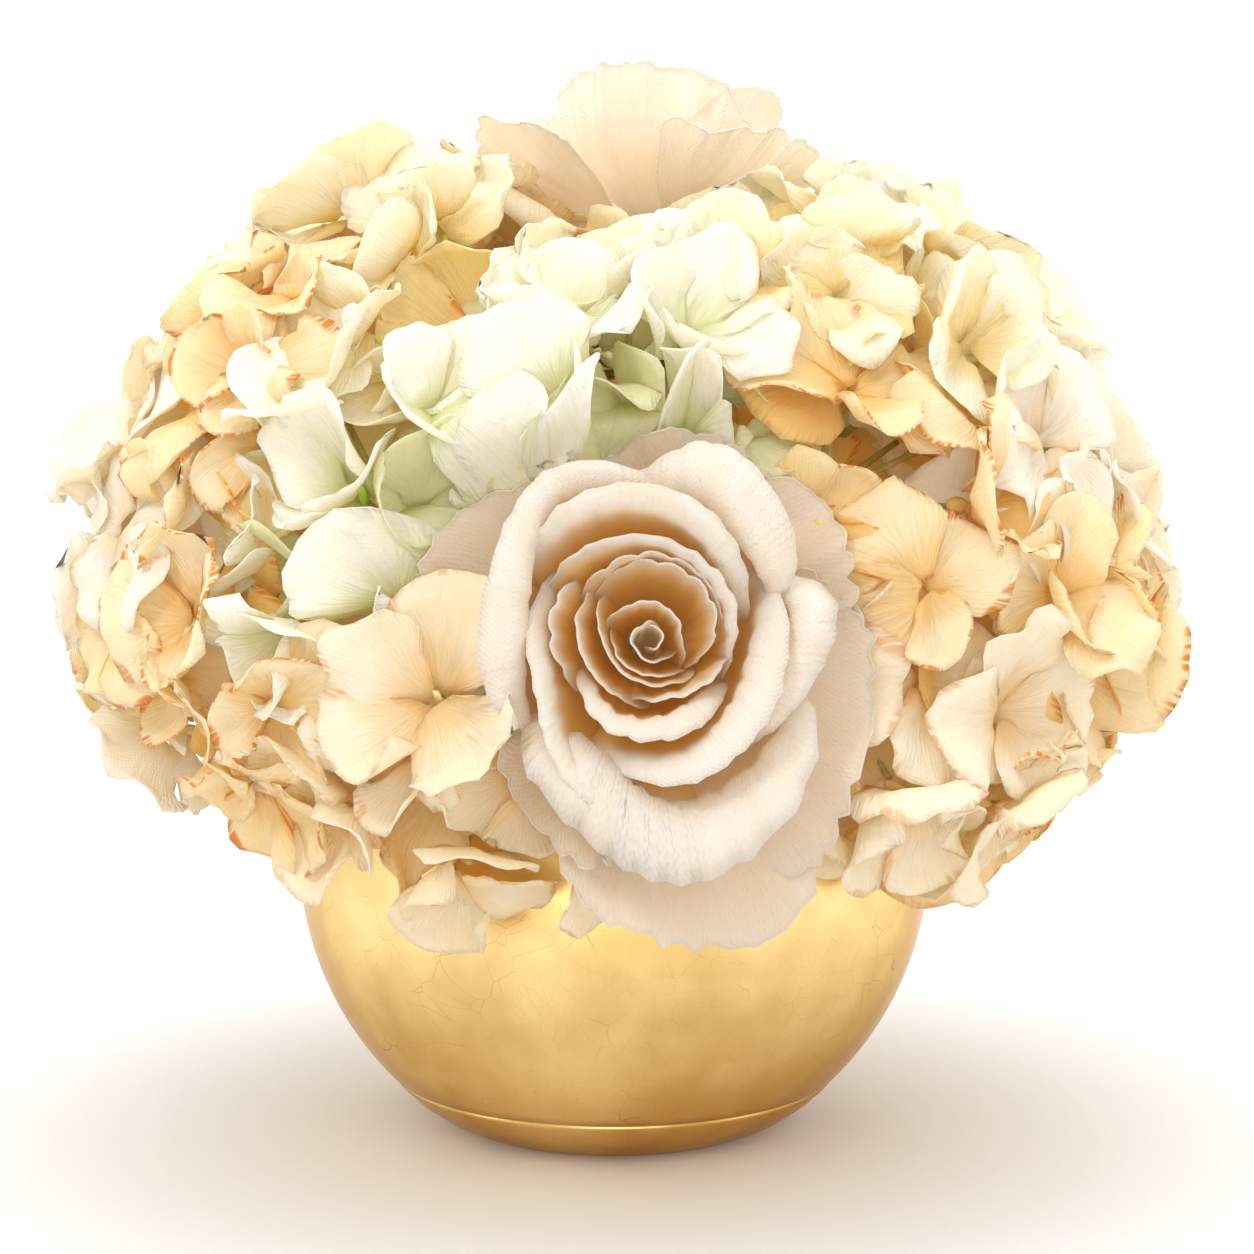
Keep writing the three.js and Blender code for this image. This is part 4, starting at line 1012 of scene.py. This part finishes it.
def addRose(name, sheet):
    rose, look = roses[name], roseLook
    turn = frameAt(direction(*rose["facing"]), 0)
    fine = fineWeights(*rosePetalGrid, 60)
    parts = []
    for k, petal in enumerate(rosePetals(name)):
        ring, number = petal["ring"], rose["number"] + k
        points, place, flat = rosePetalPoints(petal, number)
        points = points * rose["size"] @ turn.T + rose["seat"]
        if ring:
            record(fine @ points, asLid=True)
        part = copyOf(sheet, "rosePetal")
        writePoints(part, points * mm)
        writeUv(part, "petal", place)
        writeUv(part, "cloth", flat)
        # how much painted shade this petal's lower part takes, by ring
        depth = (look["paintedShadeByRing"][ring] if ring or k > 1 else look["paintedShadeBud"]) * rose["deep"]
        writeUv(part, "pick", np.tile([draw(number, 50), depth], (len(points), 1)))
        parts.append(part)
    piece = joined(rose["bloom"], parts)
    applyModifier(piece, "SOLIDIFY", thickness=roseCloth["thickness"] * mm, offset=0.0)
    piece.data.shade_smooth()
    piece.data.materials.append(roseMaterial(rose))
    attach(piece, "root")
    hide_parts(name)
    print(piece.name + ":", triangles(piece), "triangles")


# The green under a rose

roseGreen = {
    "stem": 3.0, "reach": 50.0, "calyx": 11.0, "calyxHigh": 5.0, "calyxDown": 6.4, "calyxFoot": 0.38, "round": 0.6,
    "sides": 20, "width": 16.0, "thickness": 0.6, "root": 5.0, "lift": 9.0, "drop": -7.0, "cup": 2.2, "ripple": 0.5,
    "notches": 26, "notch": 0.05,
    "dark": (0.20, 0.23, 0.05), "light": (0.45, 0.47, 0.16), "vein": (0.58, 0.58, 0.28), "veins": 62.0,
}
roseLeaves = {"rose_front": [(118, 46), (64, 46), (28, 47), (-168, 48)], "rose_top": [(120, 48)]}


def leafMaterial():
    material, tree = newMaterial("clothLeaf")
    place = axesOf(tree, uvOf(tree, "petal"))
    mottle = noise(tree, placeOn(tree), 120.0, 4.0)
    colour = blendColours(tree, mottle, roseGreen["dark"], roseGreen["light"])
    across = maths(tree, "ABSOLUTE", maths(tree, "SUBTRACT", place["X"], 0.5))
    slant = maths(tree, "SUBTRACT", place["Y"], across)
    veins = maths(tree, "SINE", times(tree, slant, roseGreen["veins"]))
    lines = maths(tree, "MAXIMUM", step(tree, across, 0.05, 0.0), times(tree, step(tree, veins, 0.9, 1.0), 0.4))
    colour = blendColours(tree, lines, colour, roseGreen["vein"])
    fabricShader(tree, colour, colour, bumpOf(tree, times(tree, veins, 0.4), 0.0006, 0.6), 0.0)
    return material


def leafPoints(k, turnRound, length):  # a leaf on the sheet's grid, round the rose's axis
    columns, rows = rosePetalGrid
    u, v = np.meshgrid(np.linspace(-1, 1, columns + 1), np.linspace(0, 1, rows + 1))
    u, v = u.ravel(), v.ravel()
    half = roseGreen["width"] / 2 * np.sin(np.pi * np.clip(v * 0.94 + 0.03, 0, 1) ** 0.8) ** 0.75
    along = roseGreen["root"] + (length - roseGreen["root"]) * v
    side = half * u * (1 + roseGreen["notch"] * np.abs(np.sin(v * roseGreen["notches"])))
    high = roseGreen["drop"] + 2 * roseGreen["lift"] * np.sin(v * math.pi / 2)
    high = high + roseGreen["cup"] * np.abs(u) * np.sin(np.pi * v)
    high = high + roseGreen["ripple"] * np.sin(9 * v + k) * np.abs(u)
    a = math.radians(turnRound)
    points = np.stack([along * math.cos(a) - side * math.sin(a), along * math.sin(a) + side * math.cos(a), high], 1)
    return points, np.stack([u * 0.5 + 0.5, v], 1), np.stack([side / 10, along / 10], 1)


def makeCalyx():
    bpy.ops.mesh.primitive_cylinder_add(vertices=roseGreen["sides"], radius=roseGreen["calyx"] * mm,
                                        depth=roseGreen["calyxHigh"] * mm,
                                        location=(0, 0, -roseGreen["calyxDown"] * mm))
    cup = bpy.context.active_object
    bpy.ops.object.mode_set(mode="EDIT")
    bpy.ops.mesh.select_all(action="DESELECT")
    bpy.ops.object.mode_set(mode="OBJECT")
    for vertex in cup.data.vertices:
        vertex.select = vertex.co.z < 0
    bpy.ops.object.mode_set(mode="EDIT")
    bpy.ops.transform.resize(value=(roseGreen["calyxFoot"], roseGreen["calyxFoot"], 1), center_override=(0, 0, 0))
    bpy.ops.mesh.select_all(action="SELECT")
    bpy.ops.mesh.bevel(offset=roseGreen["round"] * mm, segments=2)
    bpy.ops.object.mode_set(mode="OBJECT")
    return cup


def addRoseGreen(name, sheet, leafFabric, stem):
    rose = roses[name]
    turn = frameAt(direction(*rose["facing"]), 0)
    place = Matrix.LocRotScale(Vector(rose["seat"] * mm), Matrix(turn.tolist()), Vector([rose["size"]] * 3))
    leaves = []
    for k, (turnRound, length) in enumerate(roseLeaves[name]):
        points, spot, flat = leafPoints(k, turnRound, length)
        part = copyOf(sheet, "leaf")
        writePoints(part, (points * rose["size"] @ turn.T + rose["seat"]) * mm)
        writeUv(part, "petal", spot)
        writeUv(part, "cloth", flat)
        writeUv(part, "pick", np.tile([0.5, 0.5], (len(points), 1)))
        leaves.append(part)
    blades = joined("leaves", leaves)
    applyModifier(blades, "SOLIDIFY", thickness=roseGreen["thickness"] * mm, offset=0.0)
    blades.data.materials.append(leafFabric)

    gap = 4  # the stem begins this far below the bloom
    bpy.ops.mesh.primitive_cylinder_add(vertices=roseGreen["sides"], radius=roseGreen["stem"] * mm,
                                        depth=(roseGreen["reach"] - gap) * mm,
                                        location=(0, 0, -(roseGreen["reach"] + gap) / 2 * mm))
    rod, cup = bpy.context.active_object, makeCalyx()
    for part in (rod, cup):
        part.data.transform(place @ part.matrix_basis)
        part.matrix_basis = Matrix.Identity(4)
        part.data.materials.append(stem)
    piece = joined(rose["green"], [rod, cup, blades])
    piece.data.shade_smooth()
    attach(piece, "root")
    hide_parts(name + "_stem")


# The hydrangea heads

floretForm = {
    "rise": {"green": 10, "yellow": 4, "white": -6, "amber": -4, "cream": -4}, "moreRise": 44, "lean": 36,
    "swing": 34, "nub": 1.9, "nubLobes": 0.2, "nubHigh": 2.6, "stalk": 0.75, "thickness": 0.36, "petalUp": 0.3,
    "size": (0.84, 0.28), "tone": (0.35, 0.6), "orderByLayer": 0.55, "underLid": 5, "overTop": (1.0, 5.0),
    "fine": 22, "firstDraw": 200,
}


def makeNub():
    bpy.ops.mesh.primitive_uv_sphere_add(segments=8, ring_count=6, radius=floretForm["nub"] * mm)
    piece = bpy.context.active_object
    piece.name = piece.data.name = "floretNub"
    points = readPoints(piece)
    round = np.arctan2(points[:, 1], points[:, 0])
    points[:, :2] *= (1 + floretForm["nubLobes"] * np.cos(4 * round + 0.4))[:, None]
    points *= [0.5, 0.9, 1.3]
    points[:, 0] += points[:, 2] * 0.5
    writePoints(piece, points)
    piece.select_set(False)
    return piece


def makeStalk():
    thin = floretForm["stalk"] * mm
    bpy.ops.mesh.primitive_cone_add(vertices=6, radius1=thin * 1.3, radius2=thin, depth=1.0, location=(0, 0, 0.5))
    piece = bpy.context.active_object
    bpy.ops.object.transform_apply(location=True)
    piece.name = piece.data.name = "floretStalk"
    piece.select_set(False)
    return piece


def seatOf(floret):  # on what lies below it, or under a rose's outer petals
    mid = floret["point"].copy()
    far = np.linalg.norm(mid - dome["centre"])
    out = (mid - dome["centre"]) / far
    cell = cellsOf(out[None])[0]
    if cover["lid"][cell] < cover["noLid"] and not floret["over"]:
        return mid + out * min(0.0, cover["lid"][cell] - floretForm["underLid"] - far)
    above, most = floretForm["overTop"]
    return mid + out * float(np.clip(cover["top"][cell] + above - far, 0, most))


def petalTurn(seed, k, colour):
    lift = math.radians(floretForm["rise"][colour] + floretForm["moreRise"] * draw(seed, k))
    lean = math.radians(floretForm["lean"] * (draw(seed, 20 + k) - 0.5))
    round = math.radians(90 * k + floretForm["swing"] * (draw(seed, 90 + k) - 0.5))
    own = Matrix.Rotation(round, 3, "Z") @ Matrix.Rotation(-lift, 3, "Y") @ Matrix.Rotation(lean, 3, "X")
    return np.array(own)


def addHeads(laidOut, stem):
    masters = {kind: makePetal(kind + "Petal", kind, floretForm["firstDraw"] + i) for i, kind in enumerate(petalKinds)}
    shapes = {kind: readPoints(master) / mm for kind, master in masters.items()}
    grid = petalShape["grid"]
    a, b = np.meshgrid(np.linspace(-1, 1, grid + 1), np.linspace(-1, 1, grid + 1))
    spread = spreadOf(np.stack([a.ravel(), b.ravel()], 1), cover["softness"])
    fine = fineWeights(grid, grid, floretForm["fine"])
    nub, stalk = makeNub(), makeStalk()
    nubShape, stalkShape = readPoints(nub) / mm, readPoints(stalk) / mm
    petals = {name: [] for name in heads}
    centres = {name: [] for name in heads}

    for f in sorted(laidOut, key=lambda f: f["layer"] * floretForm["orderByLayer"] + draw(f["seed"], 60)):
        seed, head = f["seed"], f["head"]
        colour, facing, _ = heads[head]
        turn = frameAt(f["facing"], f["spin"])
        mid = seatOf(f)
        kinds = petalMix[colour]
        for k in range(4):
            kind = kinds[int(draw(seed, 70 + k) * len(kinds))]
            least, more = floretForm["size"]
            shape = shapes[kind].copy() * f["size"] * (least + more * draw(seed, 10 + k))
            flip = draw(seed, 80 + k) > 0.5
            if flip:
                shape[:, 1] *= -1
            shape = shape + [scatter["throat"], 0, floretForm["petalUp"] * k]
            points = settled(shape @ petalTurn(seed, k, colour).T @ turn.T + mid, spread, f["over"])
            record(fine @ points)
            part = copyOf(masters[kind], "petal")
            writePoints(part, points * mm)
            if flip:
                part.data.flip_normals()
            # a random tone per floret; under-layer florets get 0, which paints them in shade
            least, more = floretForm["tone"]
            tone = least + more * draw(seed, 110) if f["layer"] else 0.0
            writeUv(part, "pick", np.tile([draw(seed, 100 + k), tone], (len(points), 1)))
            petals[head].append(part)
        bead = copyOf(nub, "nub")
        writePoints(bead, (nubShape + [0, 0, floretForm["nubHigh"]]) @ turn.T * mm + mid * mm)
        root = domePoint(direction(*facing), scatter["centreShare"])
        long = np.linalg.norm(mid - root)
        leg = copyOf(stalk, "stalk")
        writePoints(leg, ((stalkShape * [1, 1, long / 1000]) @ frameAt(unit(mid - root), 0).T + root) * mm)
        centres[head].append((bead, leg))
    print("florets:", len(laidOut))

    petalFabric = {colour: petalMaterial(colour + "Petals", tones) for colour, tones in fabrics.items()}
    nubFabric = {colour: beadMaterial(colour + "Nub", tones["nub"]) for colour, tones in fabrics.items()}
    total = 0
    for name, (colour, _, _) in heads.items():
        blades = joined(name + "Petals", petals[name])
        applyModifier(blades, "SOLIDIFY", thickness=floretForm["thickness"] * mm, offset=0.0)
        blades.data.materials.append(petalFabric[colour])
        for bead, leg in centres[name]:
            bead.data.materials.append(nubFabric[colour])
            leg.data.materials.append(stem)
        words = name.split("_")
        title = words[0] + "".join(word.title() for word in words[1:]) + "Hydrangea"
        piece = joined(title, [blades] + [part for pair in centres[name] for part in pair])
        piece.data.shade_smooth()
        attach(piece, "root")
        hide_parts("hydrangea_" + name)
        total += triangles(piece)
    print("heads:", total, "triangles")
    for master in list(masters.values()) + [nub, stalk]:
        bpy.data.objects.remove(master)


# All together

addCamera()
addBowl()
addStudio()
print("camera and studio set")
stemGreen = dressPlainNodes()
startCover()

bpy.ops.mesh.primitive_grid_add(x_subdivisions=rosePetalGrid[0], y_subdivisions=rosePetalGrid[1], size=2)
sheet = bpy.context.active_object
sheet.data.uv_layers[0].name = "petal"
sheet.select_set(False)
addRose("rose_front", sheet)
addRose("rose_top", sheet)
leafGreen = leafMaterial()
addRoseGreen("rose_front", sheet, leafGreen, stemGreen)
addRoseGreen("rose_top", sheet, leafGreen, stemGreen)
bpy.data.objects.remove(sheet)
addHeads(layOutFlorets(), stemGreen)
bpy.ops.object.select_all(action="DESELECT")
